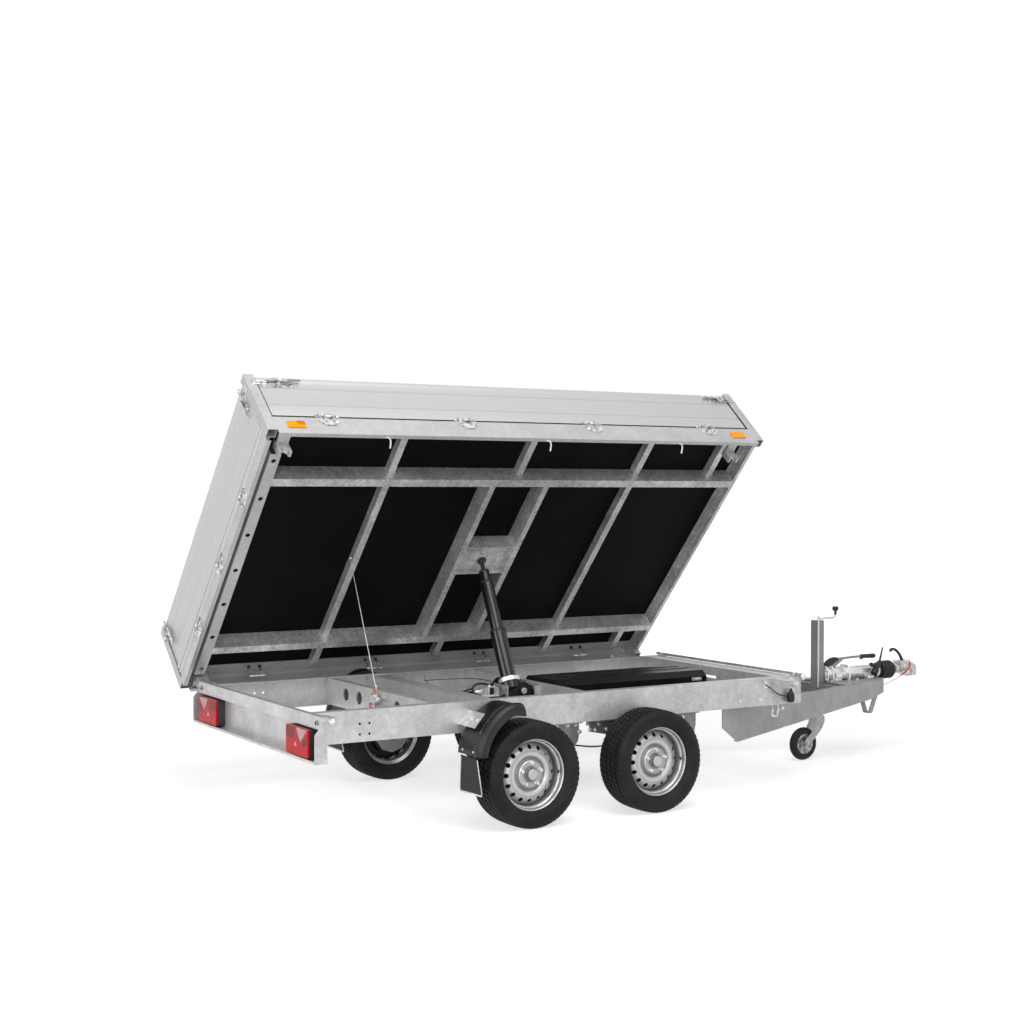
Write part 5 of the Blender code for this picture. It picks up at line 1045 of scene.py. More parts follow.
long_latch, keeper = corner_latch(0.190)
short_latch, short_keeper = corner_latch(0.130)
face_y = FACE_IN - SIDE
near_latches = merged(on_board(long_latch, (x_ends[0], face_y, 1.010), "near"),
                      on_board(backwards(short_latch), (x_ends[1], face_y, 1.010), "near"))
near_keepers = merged(on_board(keeper, (x_ends[0], face_y, 1.010), "near"),
                      on_board(backwards(short_keeper), (x_ends[1], face_y, 1.010), "near"))
show("near_latches", near_latches, fitting_zinc, "near_board", (), BED)
show("far_latches", other_side(near_latches), fitting_zinc, "far_board", (), BED)
show("latch_keepers", both_sides(near_keepers), fitting_zinc, "bed", (), BED)
gate_latch = on_board(upright(short_latch), (REAR_END + FACE_IN, -y_end + 0.040, 1.045), "rear")
gate_keeper = on_board(short_keeper, (REAR_END + FACE_IN, -y_end, 1.0), "rear")
show("tailgate_latches", both_sides(gate_latch), fitting_zinc, "tailgate", (), BED)
show("tailgate_keepers", both_sides(gate_keeper), fitting_zinc, "bed", (), BED)


# Side markers, tie hooks and lashing loops on the rims: amber reflectors on the side faces, short
# bent rods that hold a net, and zinc loops whose bolts pass through black sleeves
amber = lens_plastic("marker_amber", (1.0, 0.44, 0.0), (1.0, 0.33, 0.0))
amber_dark = lens_plastic("marker_orange", (0.80, 0.20, 0.003), (0.62, 0.12, 0.003))
REAR_MARKER_X = -1.3700
markers = [flat_on(block((x - 0.047, x + 0.047), (0.6685, 0.7165), (-SIDE - 0.0060, -SIDE), 0.005, 0.002),
                   "xz")
           for x in (REAR_MARKER_X, 1.3500)]
patch = flat_on(slab(rounded([(REAR_MARKER_X, 0.7155), (REAR_MARKER_X + 0.0455, 0.7155),
                              (REAR_MARKER_X + 0.0455, 0.6860), (REAR_MARKER_X + 0.008, 0.6930)], 0.003),
                        -SIDE - 0.0064, -SIDE - 0.0058), "xz")
show("side_markers", both_sides(merged(markers)), amber, "bed", (), BED)
show("marker_patches", both_sides(patch), amber_dark, "bed", (), BED)
hooks = merged([carried(rounded([(x - 0.024, -0.900, 0.6270), (x - 0.004, -0.898, 0.6240),
                                 (x + 0.004, -0.884, 0.6160), (x + 0.004, -0.852, 0.5990)], 0.006, 4,
                                False), ring(0.0046, 8))
                for x in (-0.886, 0.057, 0.921)])
show("tie_hooks", both_sides(hooks), zinc_plate, "bed", (), BED)
LOOP_X = (-1.087, -0.367, 0.360, 1.061)
loop_bars, sleeves = [], []
for x in LOOP_X:
    loop_bars.append(carried(rounded([(x - 0.033, 0.868, 0.7460), (x - 0.036, 0.868, 0.700),
                                      (x - 0.050, 0.864, 0.6720), (x + 0.050, 0.864, 0.6720),
                                      (x + 0.036, 0.868, 0.700), (x + 0.033, 0.868, 0.7460)],
                                     (0.0, 0.012, 0.012, 0.012, 0.012, 0.0), 5, False), ring(0.0050, 10),
                             up=(0.0, 1.0, 0.0)))
    sleeves += [turned_at([(0.0075, 0.7300), (0.0085, 0.7310), (0.0085, 0.7455), (0.0075, 0.7465)],
                          (x + side * 0.033, 0.868, 0.0), count=14) for side in (-1, 1)]
    nut = turned([(0.0100, 0.7010), (0.0100, 0.7080), (0.006, 0.7100)], 6)
    loop_bars += [moved(nut, (x + side * 0.036, 0.868, 0.0)) for side in (-1, 1)]
show("lashing_loops", both_sides(merged(loop_bars)), casting, "bed", (), BED)
show("lashing_sleeves", both_sides(merged(sleeves)), black_plastic, "bed", (), BED)


# Lift: a three-stage telescopic ram of black-coated steel. Its barrel hangs in a black gimbal ring
# between two cheeks; a bright gland ring closes the barrel and each stage ends in a dark collar
def lacquer(name, tone, rough, metal=0.0, coat=0.0):
    """Black coated steel: nearly even, with faint smears that change only its gloss."""
    material, start, shader, where = finish(name, (tone,) * 3, rough, metal, coat, 0.35)
    smears = noise(where, 7.0, 4.0, 0.6, (1.0, 1.0, 0.3))
    feed(shader, Base_Color=smears.above(0.5, 0.6).blend(grey(tone * 0.7), grey(tone * 1.4)),
         Roughness=smears * 0.16 + (rough - 0.06))
    bumped(shader, noise(where, 260.0, 2.0), 0.00008)
    return material


ram_black = lacquer("ram_black", 0.007, 0.16, 0.1, 0.2)
collar_black = lacquer("collar_black", 0.008, 0.42)
TRUNNION = np.array((0.0, 0.0, 0.570))
head_ball = BED[0] @ (0.0, 0.0, 0.655) + BED[1] - DATUM
lean = math.atan2(head_ball[1], head_ball[2] - TRUNNION[2])
LIFT = placing([[1, 0, 0], [0, math.cos(lean), math.sin(lean)], [0, -math.sin(lean), math.cos(lean)]],
               TRUNNION)
ram_length = math.hypot(head_ball[1], head_ball[2] - TRUNNION[2])


def on_ram(profile, count=48, loop=False):
    """Profile of (radius, distance up the ram from its trunnion) turned round the ram's line."""
    return moved(turned(profile, count, loop), TRUNNION)


barrel_line = [(0.0010, -0.350), (0.0470, -0.350), (0.0525, -0.344), (0.0525, 0.030), (0.0448, 0.030),
               (0.0448, -0.344), (0.0010, -0.344)]
gland = [(0.0448, 0.0305), (0.0580, 0.0305), (0.0595, 0.0325), (0.0595, 0.0535), (0.0575, 0.0560),
         (0.0448, 0.0560)]
show("ram_barrel", on_ram(barrel_line), ram_black, "lift_barrel", ["lift_barrel"], LIFT)
ram_pins = merged([moved(turned([(0.0125, 0.0490), (0.0125, 0.0710)], 24), TRUNNION, axis)
                   for axis in ("x", "-x")])
show("ram_pins", ram_pins, zinc_plate, "lift_barrel", (), LIFT)
show("ram_gland", on_ram(gland, loop=True), bright_zinc("gland_ring", 0.86, 0.34), "lift_barrel",
     (), LIFT)
# columns: radius, lower end, upper end, radius of the next stage
for number, (radius, low, high, inner) in enumerate((
        (0.0435, -0.030, 0.334, 0.0368),
        (0.0360, 0.290, 0.624, 0.0288),
        (0.0280, 0.585, ram_length - 0.060, 0.0120)), 1):
    body = f"lift_stage_{number}"
    bore = inner + 0.0005
    tube_line = [(bore, low), (radius, low), (radius, high - 0.0142), (bore, high - 0.0142)]
    collar = [(inner, high - 0.0140), (radius + 0.0004, high - 0.0140), (radius + 0.0006, high - 0.0125),
              (radius + 0.0006, high - 0.0015), (radius - 0.0006, high), (inner, high)]
    show(f"ram_stage_{number}", on_ram(tube_line, loop=True), ram_black, body, [body], LIFT)
    show(f"ram_collar_{number}", on_ram(collar, loop=True), collar_black, body, (), LIFT)
ball_turn = np.radians(np.linspace(-52.0, 88.0, 14))
ball_line = [(0.0120, -0.0605), (0.0120, -0.0160)] + list(zip(0.020 * np.cos(ball_turn),
                                                              0.020 * np.sin(ball_turn)))
show("ram_ball", on_ram([(r, z + ram_length) for r, z in ball_line], 32), collar_black, "lift_stage_3",
     (), LIFT)


# Gimbal cheeks, pump box and valve: black painted steel cheeks with bright pins, a ribbed black cover
# over pump and battery, and a bright valve block with a looped rubber hose
cheek_paint = lacquer("cheek_paint", 0.010, 0.40)
cover_black = plastic("cover_black", 0.0035, 0.34, 0.0, 0.16)
recoat(["cylinder_cradle"], cheek_paint)
recoat(["pump_box"], cover_black)
pin_end = turned_at([(0.0165, -0.002), (0.0165, 0.0030), (0.0145, 0.0048), (0.0060, 0.0050),
                     (0.0050, 0.0036)], (0.0, -0.1350, 0.570), "-y", count=28)
show("trunnion_pins", both_sides(pin_end), zinc_plate)
pin_rim = moved(turned([(0.0172, -0.0090), (0.0235, -0.0090), (0.0235, -0.0020), (0.0215, 0.0),
                        (0.0172, 0.0)], 28, True),
                (0.0, -0.1350, 0.570), "-y")
show("trunnion_collars", both_sides(pin_rim), collar_black)
valve_shelf = merged(flat_on(slab(box_line((-0.262, -0.142), (-0.127, -0.030)), 0.5503, 0.5535), "xy"),
                     slab(box_line((0.0560, 0.0940), (-0.1500, -0.1460)), 0.530, 0.6020),
                     slab(box_line((0.0560, 0.0940), (-0.1500, -0.1250)), 0.5980, 0.6020),
                     flat_on(slab(box_line((-0.1500, -0.0050), (0.5300, 0.6060)), -0.1120, -0.1080), "yz"))
valve_blocks = merged(
    block((-0.206, -0.168), (-0.112, -0.050), (0.5536, 0.602), 0.003, 0.0015),
    block((-0.166, -0.146), (-0.118, -0.056), (0.5536, 0.596), 0.003, 0.0015),
    block((-0.246, -0.208), (-0.106, -0.062), (0.5536, 0.592), 0.006, 0.0015),
    turned_at([(0.0130, 0.0), (0.0150, 0.002), (0.0150, 0.020), (0.0090, 0.026), (0.0090, 0.036),
               (0.006, 0.038)], (-0.246, -0.084, 0.574), "-x"),
    [moved(bolt(0.008), (x, -0.084, z)) for x, z in ((-0.187, 0.602), (-0.156, 0.596))])
show("valve_bracket", valve_shelf, bright_zinc("bracket_zinc", 0.70, 0.36))
show("valve_blocks", valve_blocks, bright_zinc("valve_zinc", 0.84, 0.30))
show("valve_coil", block((-0.200, -0.174), (-0.1140, -0.1118), (0.560, 0.596), 0.003), collar_black)
hose_black = rubber("hose_rubber", 0.012, 0.42)
hose = cable([(-0.150, -0.050, 0.588), (-0.170, -0.030, 0.604), (-0.215, -0.030, 0.610),
              (-0.262, -0.050, 0.602), (-0.285, -0.082, 0.582), (-0.272, -0.110, 0.562),
              (-0.235, -0.120, 0.545), (-0.200, -0.112, 0.528), (-0.170, -0.080, 0.512)], 0.0058, 8, 10)
feed_hose = cable([(-0.262, -0.050, 0.592), (-0.315, -0.020, 0.572), (-0.360, 0.020, 0.548),
                   (-0.420, 0.050, 0.530), (-0.452, 0.050, 0.520)],
                  0.0048, 8, 8)
show("valve_hose", merged(hose, feed_hose), hose_black)
wires = merged(cable([(-0.060, 0.050, 0.600), (-0.110, 0.200, 0.606), (-0.180, 0.420, 0.585),
                      (-0.210, 0.600, 0.560)], 0.0022, 8, 6),
               cable([(-0.200, 0.612, 0.585), (-0.215, 0.560, 0.560), (-0.200, 0.480, 0.520),
                      (-0.170, 0.420, 0.500)], 0.0018, 8, 6),
               cable([(-0.250, -0.020, 0.560), (-0.330, -0.060, 0.540), (-0.440, -0.100, 0.522)], 0.0022,
                     8, 6))
show("light_wires", wires, hose_black)
cover_handle = merged(carried(rounded([(1.010, -0.3062, 0.590), (1.010, -0.318, 0.590),
                                       (1.044, -0.318, 0.590), (1.044, -0.3062, 0.590)],
                                      0.006, 4, False), ring(0.0040, 8)),
                      slab(box_line((0.996, 1.062), (-0.3046, -0.3002)), 0.580, 0.598))
show("cover_catch", cover_handle, zinc_plate)
seam = carried([(0.110, -0.3006, 0.5610), (1.120, -0.3006, 0.5610)],
               [(-0.0008, -0.0010), (0.0008, -0.0010), (0.0008, 0.0010), (-0.0008, 0.0010)])
show("cover_lip", seam, plastic("cover_edge", 0.10, 0.3))


# Tip-limit cable and valve: a steel wire rope from the bed's cross member to a lever valve on the
# chassis cross plate, which stops the pump when the rope comes taut
VALVE_SHIFT = (-0.004, -0.048, -0.016)
rope_top = BED[0] @ (-0.7775, 0.0199, 0.7205) + BED[1] - DATUM
rope_foot = np.array((-0.812, 0.040, 0.6300)) + VALVE_SHIFT
rope_line = rope_foot + (rope_top - rope_foot) * np.linspace(0.0, 1.0, 25)[:, None]
rope = show("tip_limit_rope", carried(rope_line, ring(0.0022, 6)), bright_zinc("wire_rope", 0.60, 0.40),
            "chassis")
rope.parent = None
tuple(DATUM + rope_top)
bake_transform(rope)
rope_ends = turned_at([(0.0020, 0.0), (0.0055, 0.003), (0.0055, 0.022), (0.0020, 0.028)],
                      rope_foot - (0.0, 0.0, 0.004), count=12)
rope_stud = moved(turned([(0.0042, 0.0), (0.0042, 0.0070), (0.0085, 0.0080), (0.0085, 0.0145),
                          (0.0060, 0.0160)], 12),
                  (-0.7670, 0.0199, 0.7205), "-x")
show("rope_stud", rope_stud, zinc_plate, "bed", (), BED)
valve_body = merged(
    block((-0.836, -0.808), (0.022, 0.062), (0.5640, 0.6080), 0.004, 0.002),
    turned_at([(0.011, 0.0), (0.013, 0.002), (0.013, 0.030), (0.009, 0.034)], (-0.822, 0.022, 0.584), "-y"),
    moved(turned([(0.0050, -0.030), (0.0050, 0.060)], 12), (-0.822, 0.042, 0.548)),
    block((-0.8395, -0.8045), (-0.020, 0.090), (0.5480, 0.5530), 0.004))
show("limit_valve", merged(rope_ends, repeated(valve_body, [VALVE_SHIFT])), zinc_plate)
coil_turn = np.linspace(0.0, 2 * np.pi * 7, 140)
coil = np.stack([-0.822 + 0.0078 * np.cos(coil_turn), 0.042 + 0.0078 * np.sin(coil_turn),
                 np.linspace(0.606, 0.634, 140)], 1)
show("limit_spring", repeated(carried(coil, ring(0.0013, 6)), [VALVE_SHIFT]),
     lens_plastic("spring_orange", (0.80, 0.22, 0.03), (0.55, 0.12, 0.02)))
lever_line = rounded([(-0.006, 0.5100), (0.006, 0.5100), (0.007, 0.5480), (-0.005, 0.5480)], 0.003)
levers = [flat_on(slab(lever_line + (y, 0.0), -0.8440, -0.8400), "yz") for y in (0.006, -0.056)]
show("valve_levers", merged(levers), lens_plastic("lever_red", (0.60, 0.02, 0.02), (0.42, 0.01, 0.01)))


# Axle plates and cross plate: rows of zinc-plated bolts, a dark red brake cable that runs from axle
# to axle on each side, and black discs that fill the cross plate's four holes as painted shade
axle_bolts = bolts_at(0.011, [(x, -0.6002, z)
                              for x, z in ((0.042, 0.410), (0.108, 0.414), (0.141, 0.412), (0.163, 0.442),
                                           (0.208, 0.411), (-0.620, 0.440), (0.700, 0.440))], "-y", 0.7)
show("axle_bolts", both_sides(axle_bolts), zinc_plate)
brake_cable = cable([(-0.240, -0.560, 0.330), (-0.120, -0.560, 0.352), (0.020, -0.560, 0.338),
                     (0.180, -0.560, 0.318), (0.380, -0.560, 0.330)],
                    0.0042, 8, 8)
show("brake_cable", both_sides(brake_cable),
     lens_plastic("cable_dark_red", (0.22, 0.010, 0.012), (0.14, 0.006, 0.008)))
# Black discs closing the holes: painted shade for what is seen through them
shade_discs = [moved(turned([(0.0010, 0.0), (0.0320, 0.0), (0.0320, 0.0014), (0.0010, 0.0014)], 28),
                  (-0.7985, y, 0.545), "x")
            for y in (-0.376, -0.216, 0.216, 0.376)]
show("hole_shade_discs", merged(shade_discs), hose_black)


# Overrun device: a galvanised cast housing with bolted flanges and clamps, a bright tube with a bare
# label place, black bellows, the cast coupling head with its handle, the handbrake and the lead plug
LINE_Z = 0.513


def on_line(profile, count=48, loop=False):
    """Profile of (radius, x) turned round the coupling's line."""
    return moved(turned(profile, count, loop), (0.0, 0.0, LINE_Z), "x")


cast_zinc = bright_zinc("cast_zinc", 0.86, 0.40, 0.74, 30.0)
housing = merged(
    on_line(rounded([(0.0010, 2.229), (0.0360, 2.229), (0.0360, 2.280), (0.0400, 2.290), (0.0410, 2.300),
                     (0.0410, 2.426), (0.0440, 2.430), (0.0440, 2.438), (0.0390, 2.442), (0.0380, 2.640),
                     (0.0400, 2.650), (0.0400, 2.678), (0.0380, 2.690), (0.0262, 2.690), (0.0262, 2.660)],
                    0.0025, 3, False)),
    [flat_on(slab(rounded([(-0.052, 0.4720), (0.052, 0.4720), (0.052, 0.5400), (0.030, 0.5640),
                           (-0.030, 0.5640), (-0.052, 0.5400)], 0.006),
                  x, x + 0.010, 0.0015), "yz") for x in (2.236, 2.282, 2.414)],
    [block((x, x + 0.050), (-0.052, 0.052), (0.4716, 0.4900), 0.006, 0.002) for x in (2.300, 2.572)],
    [block((2.304, 2.352), (side * 0.046 - 0.008, side * 0.046 + 0.008), (0.4720, 0.5260), 0.004, 0.002)
     for side in (-1, 1)])
show("overrun_casting", housing, cast_zinc, replaces=["overrun_housing"])
clamp_bolts = merged(
    bolts_at(0.010, [(2.2358, y, z) for y, z in ((-0.040, 0.484), (0.040, 0.484), (-0.036, 0.540),
                                                 (0.036, 0.540))], "-x", 0.8),
    bolts_at(0.010, [(x, -0.0542, z) for x, z in ((2.316, 0.500), (2.340, 0.500))], "-y", 0.8),
    bolts_at(0.010, [(x, y, 0.4900) for x in (2.312, 2.338, 2.590) for y in (-0.043, 0.043)], height=0.8),
    bolts_at(0.010, [(x, y, 0.4716) for x in (2.262, 2.400, 2.470) for y in (-0.060, 0.060)], height=0.8))
show("overrun_bolts", clamp_bolts, zinc_plate)
plate_turn = np.radians(np.linspace(196.0, 236.0, 10))
plate_rows = np.stack([np.stack([np.full(10, x), 0.0418 * np.cos(plate_turn),
                                 LINE_Z - 0.0418 * np.sin(plate_turn)], 1)
                       for x in (2.334, 2.382)])
plate_back = plate_rows * (1.0, 0.985, 1.0) - (0.0, 0.0, 0.0004)
label = skin(np.concatenate([plate_rows, plate_back[::-1]]).transpose(1, 0, 2))
show("label_place", label, plastic("bare_label", 0.66, 0.45))
fold = np.linspace(0.0, 3.0, 61)
bellows_line = [(0.0300, 2.6910), (0.0405, 2.6910), (0.0405, 2.7020)]
bellows_line += list(zip(0.0475 + 0.0098 * np.abs(np.sin(np.pi * fold)) ** 0.7, 2.704 + fold / 3.0 * 0.100))
bellows_line += [(0.0440, 2.8080), (0.0420, 2.8150), (0.0300, 2.8150)]
bellows_black = rubber("bellows_rubber", 0.010, 0.45)
show("bellows_folds", on_line(bellows_line, 48, True), bellows_black,
     replaces=["bellows"], sharp=60.0)

head_x = np.array((2.845, 2.850, 2.880, 2.905, 2.935, 2.965, 2.990, 3.006, 3.0150))
head_top = np.array((0.5330, 0.5410, 0.5500, 0.5555, 0.5560, 0.5555, 0.5480, 0.5360, 0.5180))
head_low = np.array((0.4930, 0.4850, 0.4800, 0.4760, 0.4630, 0.4622, 0.4622, 0.4630, 0.4700))
head_half = np.array((0.0200, 0.0255, 0.0285, 0.0320, 0.0385, 0.0405, 0.0380, 0.0310, 0.0180))
turn = np.linspace(0.0, 2 * np.pi, 40, endpoint=False)
lobe_y = np.sign(np.cos(turn)) * np.abs(np.cos(turn)) ** 0.62
lobe_z = np.sign(np.sin(turn)) * np.abs(np.sin(turn)) ** 0.50
fine_x = np.linspace(head_x[0], head_x[-1], 40)
top, low, half = (np.interp(fine_x, head_x, values)[:, None] for values in (head_top, head_low, head_half))
waist = 1.0 - 0.16 * np.clip(lobe_z, 0.0, 1.0)[None, :] ** 3
head_rows = np.stack([fine_x[:, None] + 0.0 * turn, half * lobe_y * waist,
                      (top + low) / 2 + (top - low) / 2 * lobe_z], -1)
head = skin(head_rows)
neck = on_line([(0.0010, 2.640), (0.0248, 2.640), (0.0248, 2.848), (0.0225, 2.858), (0.0010, 2.858)], 32)
brow = merged(block((2.862, 2.896), (-0.034, 0.034), (0.5350, 0.5650), 0.006, 0.003),
              [block((2.926, 2.958), (y - 0.003, y + 0.003), (0.5500, 0.5680), 0.002, 0.001)
               for y in (-0.022, 0.022)],
              bolts_at(0.009, [(2.860, y, 0.5390) for y in (-0.018, 0.018)], height=0.8),
              bolts_at(0.010, [(2.905, -0.0322, 0.512), (2.875, -0.0286, 0.515), (2.960, -0.0400, 0.500)],
                       "-y", 0.7))
show("coupling_casting", merged(head, neck, brow), bright_zinc("coupling_zinc", 0.74, 0.34, 0.5, 40.0),
     replaces=["coupling_head"], sharp=50.0)
handle_path = flowing([(2.908, 0.0, 0.556), (2.902, 0.0, 0.576), (2.890, 0.0, 0.596), (2.872, 0.0, 0.616),
                       (2.850, 0.0, 0.632), (2.828, 0.0, 0.638), (2.813, 0.0, 0.634), (2.806, 0.0, 0.622)],
                      5)
share = np.linspace(0.0, 1.0, len(handle_path))
wide = np.interp(share, (0.0, 0.25, 0.8, 1.0), (0.013, 0.010, 0.013, 0.009))
thick = np.interp(share, (0.0, 0.3, 0.8, 1.0), (0.009, 0.008, 0.0085, 0.005))
handle_rows = np.stack([np.stack([wide * np.cos(a), thick * np.sin(a)], 1)
                        for a in np.linspace(0, 2 * np.pi, 16, endpoint=False)], 1)
handle = carried(handle_path, handle_rows.reshape(len(handle_path), 16, 2), up=(0.3, 0.0, 1.0))
show("handle_grip", handle, plastic("handle_black", 0.012, 0.36),
     replaces=["coupling_handle"], sharp=60.0)

cover_x = np.array((2.252, 2.258, 2.275, 2.300, 2.330, 2.355, 2.372))
cover_top = np.array((0.5700, 0.5800, 0.5960, 0.6090, 0.6140, 0.6110, 0.6030))
cover_low = np.array((0.5560, 0.5560, 0.5560, 0.5620, 0.5740, 0.5860, 0.5930))
cover_fine = np.linspace(2.252, 2.372, 24)
c_top, c_low = (np.interp(cover_fine, cover_x, values)[:, None] for values in (cover_top, cover_low))
cover_half = np.interp(cover_fine, (2.252, 2.262, 2.350, 2.372), (0.010, 0.0155, 0.0155, 0.012))[:, None]
cover_rows = np.stack([cover_fine[:, None] + 0.0 * turn, cover_half * lobe_y,
                       (c_top + c_low) / 2 + (c_top - c_low) / 2 * lobe_z], -1)
lever_cover = skin(cover_rows)
show("lever_cover", lever_cover, plastic("lever_plastic", 0.012, 0.38),
     replaces=["handbrake_lever"], sharp=60.0)
lever_arm = merged(
    carried([(2.345, 0.0, 0.598), (2.400, 0.0, 0.602), (2.480, 0.0, 0.606), (2.560, 0.0, 0.607)],
            rounded(box_line((-0.0080, 0.0080), (-0.0065, 0.0065)), 0.002)),
    [flat_on(slab(rounded([(2.290, 0.5545), (2.330, 0.5545), (2.392, 0.5920), (2.392, 0.6030),
                           (2.350, 0.5990)], 0.003), y - 0.0018, y + 0.0018), "xz")
     for y in (-0.0130, 0.0130)])
show("lever_arm", lever_arm, galvanised("lever_zinc", 0.22, 0.34))
grip_line = rounded([(0.0010, 0.0), (0.0115, 0.0), (0.0130, 0.004), (0.0130, 0.050), (0.0145, 0.100),
                     (0.0138, 0.118), (0.0080, 0.1245), (0.0010, 0.1245)],
                    0.003, 4, False)
grip = moved(turned(grip_line, 24), (2.5500, 0.0, 0.6070), (0.9998, 0.0, -0.020))
release = block((2.549, 2.566), (-0.007, 0.007), (0.5885, 0.5990), 0.002)
show("lever_grip", merged(grip, release), plastic("grip_plastic", 0.020, 0.40))

plug_axis = np.array((-0.62, -0.10, -0.78))
plug = merged(
    turned_at([(0.0060, -0.070), (0.0085, -0.060), (0.0110, -0.040), (0.0165, -0.028), (0.0175, -0.002),
               (0.0215, 0.0), (0.0225, 0.004), (0.0225, 0.034), (0.0190, 0.036), (0.0190, 0.030)],
              (2.618, -0.068, 0.528), plug_axis, count=24, soft=0.0015),
    block((2.592, 2.650), (-0.078, -0.048), (0.5420, 0.5660), 0.005, 0.002),
    moved(turned([(0.0115, 0.0), (0.0125, 0.002), (0.0125, 0.026), (0.0115, 0.028)], 16),
          (2.598, -0.060, 0.554), (-0.8, -0.3, 0.25)))
lead = carried(flowing([(2.650, -0.062, 0.566), (2.662, -0.058, 0.588), (2.676, -0.052, 0.612),
                        (2.688, -0.047, 0.638), (2.698, -0.044, 0.658)], 6),
               np.stack([ring(r, 10) for r in np.linspace(0.0075, 0.0042, 25)]))
show("lead_plug", merged(plug, lead), plastic("plug_black", 0.010, 0.44), sharp=50.0)
show("plug_holder", block((2.600, 2.660), (-0.060, -0.036), (0.5160, 0.5200), 0.003), zinc_plate)
safety_cable = merged(
    cable([(2.930, -0.041, 0.556), (2.936, -0.046, 0.540), (2.922, -0.048, 0.516), (2.890, -0.047, 0.494),
           (2.852, -0.045, 0.474)], 0.0044, 8, 10),
    cable([(2.852, -0.045, 0.474), (2.815, -0.042, 0.456), (2.755, -0.038, 0.434), (2.690, -0.030, 0.416)],
          0.0022, 8, 8))
show("safety_cable", safety_cable, lens_plastic("cable_red", (0.78, 0.045, 0.020), (0.62, 0.03, 0.015)))
snap_ring = moved(carried(np.column_stack([ring(0.009, 24), np.zeros(24)]), ring(0.0016, 6), True,
                          (0.0, 0.0, 1.0)), (2.822, -0.043, 0.440), "y")
show("safety_ring", snap_ring, zinc_plate)


# Jockey wheel: a square post of plain grey tube, a crank of bright rod with a black knob, a pressed
# fork and a small wheel with a solid rubber tyre on a pressed hub
post_zinc = galvanised("post_zinc", 0.24, 0.31, 0.3)
recoat(["jockey_post"], post_zinc)
recoat(["jockey_leg"], cast_zinc)
crank_y = -0.0338
crank_path = rounded([(2.1725, crank_y, 0.440), (2.1725, crank_y, 0.858), (2.2960, crank_y, 0.861),
                      (2.3095, crank_y, 0.874), (2.3095, crank_y, 0.884)],
                     (0.0, 0.006, 0.010, 0.006, 0.0), 5, False)
crank_cap = turned_at([(0.0075, 0.0), (0.0085, 0.001), (0.0085, 0.012), (0.0060, 0.014)],
                      (2.1725, crank_y, 0.8600))
show("crank_rod", merged(carried(crank_path, ring(0.0058, 12), up=(0.02, 1.0, 0.03)), crank_cap),
     bright_zinc("crank_zinc", 0.62, 0.50, 0.95), replaces=["jockey_crank"])
knob = turned_at([(0.0010, 0.0), (0.0080, 0.0), (0.0085, 0.010), (0.0065, 0.016), (0.0100, 0.024),
                  (0.0185, 0.030), (0.0200, 0.040), (0.0175, 0.0485), (0.0080, 0.0520), (0.0010, 0.0520)],
                 (2.3095, crank_y, 0.8780), count=32, soft=0.004, steps=4)
show("crank_knob", knob, plastic("knob_black", 0.012, 0.38), sharp=60.0)
half = 0.030
JOCKEY_AXLE = (2.083, 0.0, 0.100)
cheek_line = rounded([(2.225, 0.2650), (2.165, 0.2650), (2.160, 0.232), (2.132, 0.176), (2.070, 0.118),
                      (2.066, 0.100), (2.076, 0.086), (2.094, 0.086), (2.166, 0.146), (2.206, 0.186),
                      (2.230, 0.232)],
                     (0.006, 0.006, 0.012, 0.020, 0.012, 0.010, 0.010, 0.012, 0.02, 0.02, 0.012), 5)
fork = merged([flat_on(slab(cheek_line, y - 0.0022, y + 0.0022), "xz")
               for y in (-half - 0.0020, half + 0.0020)],
              block((2.166, 2.224), (-half - 0.002, half + 0.002), (0.2570, 0.2650), 0.006, 0.001),
              turned_at([(0.0010, -half - 0.014), (0.0095, -half - 0.014), (0.0095, -half - 0.0040),
                         (0.0060, -half - 0.0038), (0.0060, half + 0.0038), (0.0095, half + 0.0040),
                         (0.0095, half + 0.014), (0.0010, half + 0.014)], JOCKEY_AXLE, "y", count=18,
                        soft=0.0005),
              [moved(bolt(0.007), (2.199, side * (half + 0.0042), 0.196), "y" if side > 0 else "-y")
               for side in (-1, 1)])
show("fork_plates", fork, bright_zinc("fork_zinc", 0.46, 0.42), "jockey_fork", ["jockey_fork"])
tyre_turn = np.radians(np.linspace(-128.0, 128.0, 29))
small_tyre = [(0.0575, -0.0150)] + list(zip(0.0760 + 0.0236 * np.cos(tyre_turn),
                                            0.0236 * np.sin(tyre_turn))) + [(0.0575, 0.0150)]
show("small_tyre", moved(turned(small_tyre, 64, True), JOCKEY_AXLE, "y"),
     rubber("small_rubber", 0.006, 0.55), "jockey_wheel", ["jockey_wheel"])
small_hub = rounded([(0.0070, -0.0260), (0.0140, -0.0260), (0.0150, -0.0140), (0.0240, -0.0110),
                     (0.0400, -0.0130), (0.0480, -0.0200), (0.0600, -0.0215), (0.0620, -0.0190),
                     (0.0560, -0.0130), (0.0560, 0.0130), (0.0620, 0.0190), (0.0600, 0.0215),
                     (0.0480, 0.0200), (0.0400, 0.0130), (0.0240, 0.0110), (0.0150, 0.0140),
                     (0.0140, 0.0260), (0.0070, 0.0260)], 0.0015, 2)
hub_studs = merged([moved(bolt(0.007, 0.8),
                          (JOCKEY_AXLE[0] + 0.031 * math.cos(a), side * 0.0120,
                           JOCKEY_AXLE[2] + 0.031 * math.sin(a)), "y" if side > 0 else "-y")
                    for a in 2 * np.pi * np.arange(5) / 5 for side in (-1, 1)])
show("small_hub", merged(moved(turned(small_hub, 48, True), JOCKEY_AXLE, "y"), hub_studs),
     bright_zinc("hub_zinc", 0.50, 0.30, 0.3, 50.0), "jockey_wheel")


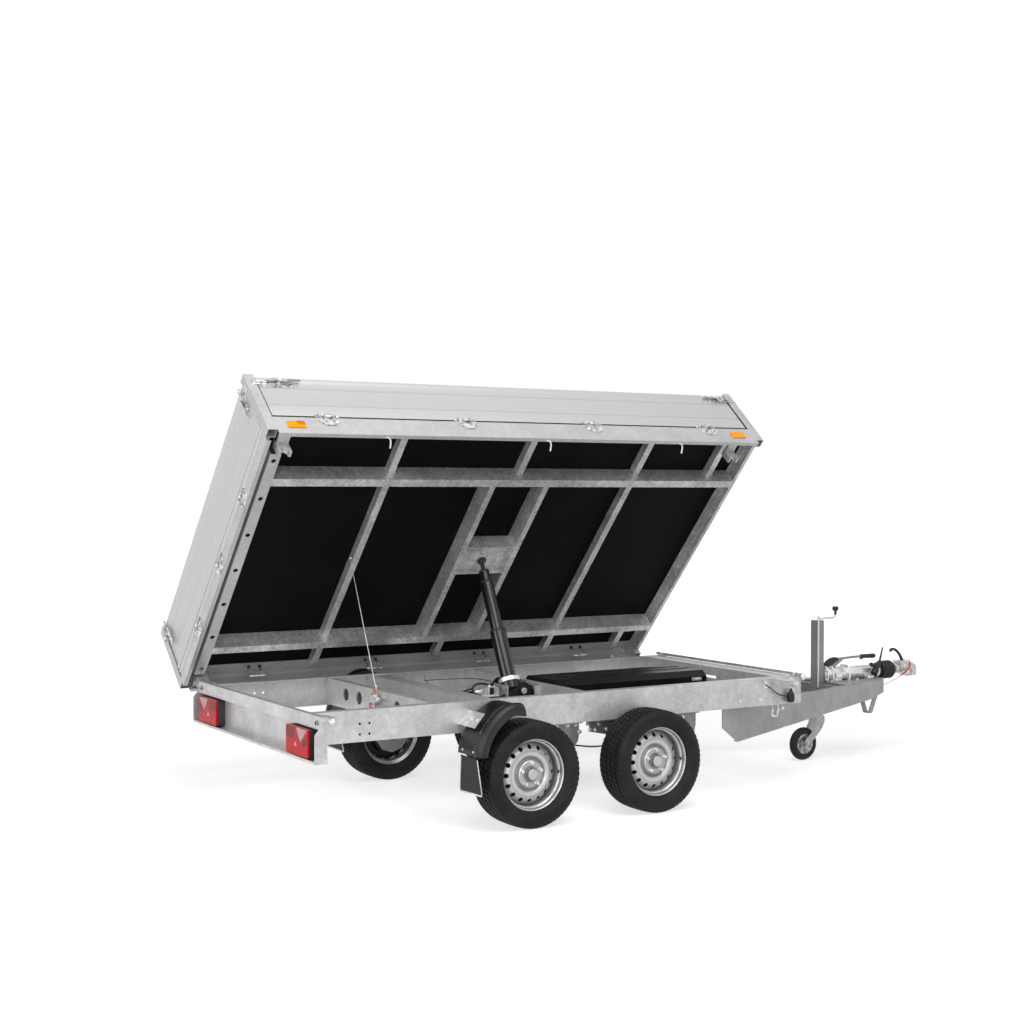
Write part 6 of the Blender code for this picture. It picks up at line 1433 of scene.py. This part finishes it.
# Bed lock: a round bar across the front beam with a ball at its near end, its locking pin on a thin
# cable, and claws on the rims that close round the pivot balls
bar = merged(turned_at([(0.0010, -0.660), (0.0085, -0.660), (0.0085, 0.660), (0.0010, 0.660)],
                       (1.470, 0.0, 0.6240), "y"),
             turned_at([(0.0010, -0.700), (0.0120, -0.698), (0.0190, -0.688), (0.0210, -0.676),
                        (0.0170, -0.664), (0.0100, -0.658), (0.0010, -0.656)], (1.470, 0.0, 0.6140), "y",
                       count=24, soft=0.004, steps=4),
             [block((1.452, 1.488), (y - 0.012, y + 0.012), (0.6153, 0.6300), 0.004, 0.002)
              for y in (-0.612, 0.612)])
show("lock_bar", bar, zinc_plate)
pin = merged(turned_at([(0.0010, 0.0), (0.0165, 0.002), (0.0210, 0.016), (0.0200, 0.046), (0.0140, 0.058),
                        (0.0080, 0.062), (0.0070, 0.084), (0.0010, 0.084)], (1.400, -0.664, 0.474),
                       count=24, soft=0.004, steps=4))
pin_cable = cable([(1.232, -0.6440, 0.580), (1.262, -0.650, 0.564), (1.296, -0.658, 0.536),
                   (1.335, -0.662, 0.517), (1.384, -0.664, 0.508)], 0.0030, 8, 8)
show("lock_pin", merged(pin, pin_cable), plastic("pin_black", 0.012, 0.40), sharp=60.0)
tabs = merged(flat_on(slab(rounded([(1.228, 0.560), (1.262, 0.560), (1.262, 0.6130), (1.228, 0.6130)],
                                   0.006), -0.6440, -0.6404), "xz"),
              flat_on(slab(rounded([(1.404, 0.540), (1.440, 0.540), (1.440, 0.6130), (1.404, 0.6130)],
                                   0.006), -0.6440, -0.6404), "xz"),
              moved(bolt(0.009), (1.245, -0.6440, 0.588), "-y"),
              moved(bolt(0.007), (1.392, -0.6404, 0.586), "-y"))
show("lock_tabs", tabs, zinc_plate)
shackle = merged(carried(rounded([(1.312, -0.607, 0.462), (1.312, -0.607, 0.402), (1.352, -0.607, 0.394),
                                  (1.352, -0.607, 0.462)], 0.016, 5, False),
                         ring(0.0060, 8), up=(0.0, 1.0, 0.0)),
                 bolts_at(0.010, [(1.312, -0.6130, 0.432), (1.352, -0.6130, 0.432),
                                  (1.385, -0.6130, 0.440)], "-y"))
show("shackles", both_sides(shackle), zinc_plate)
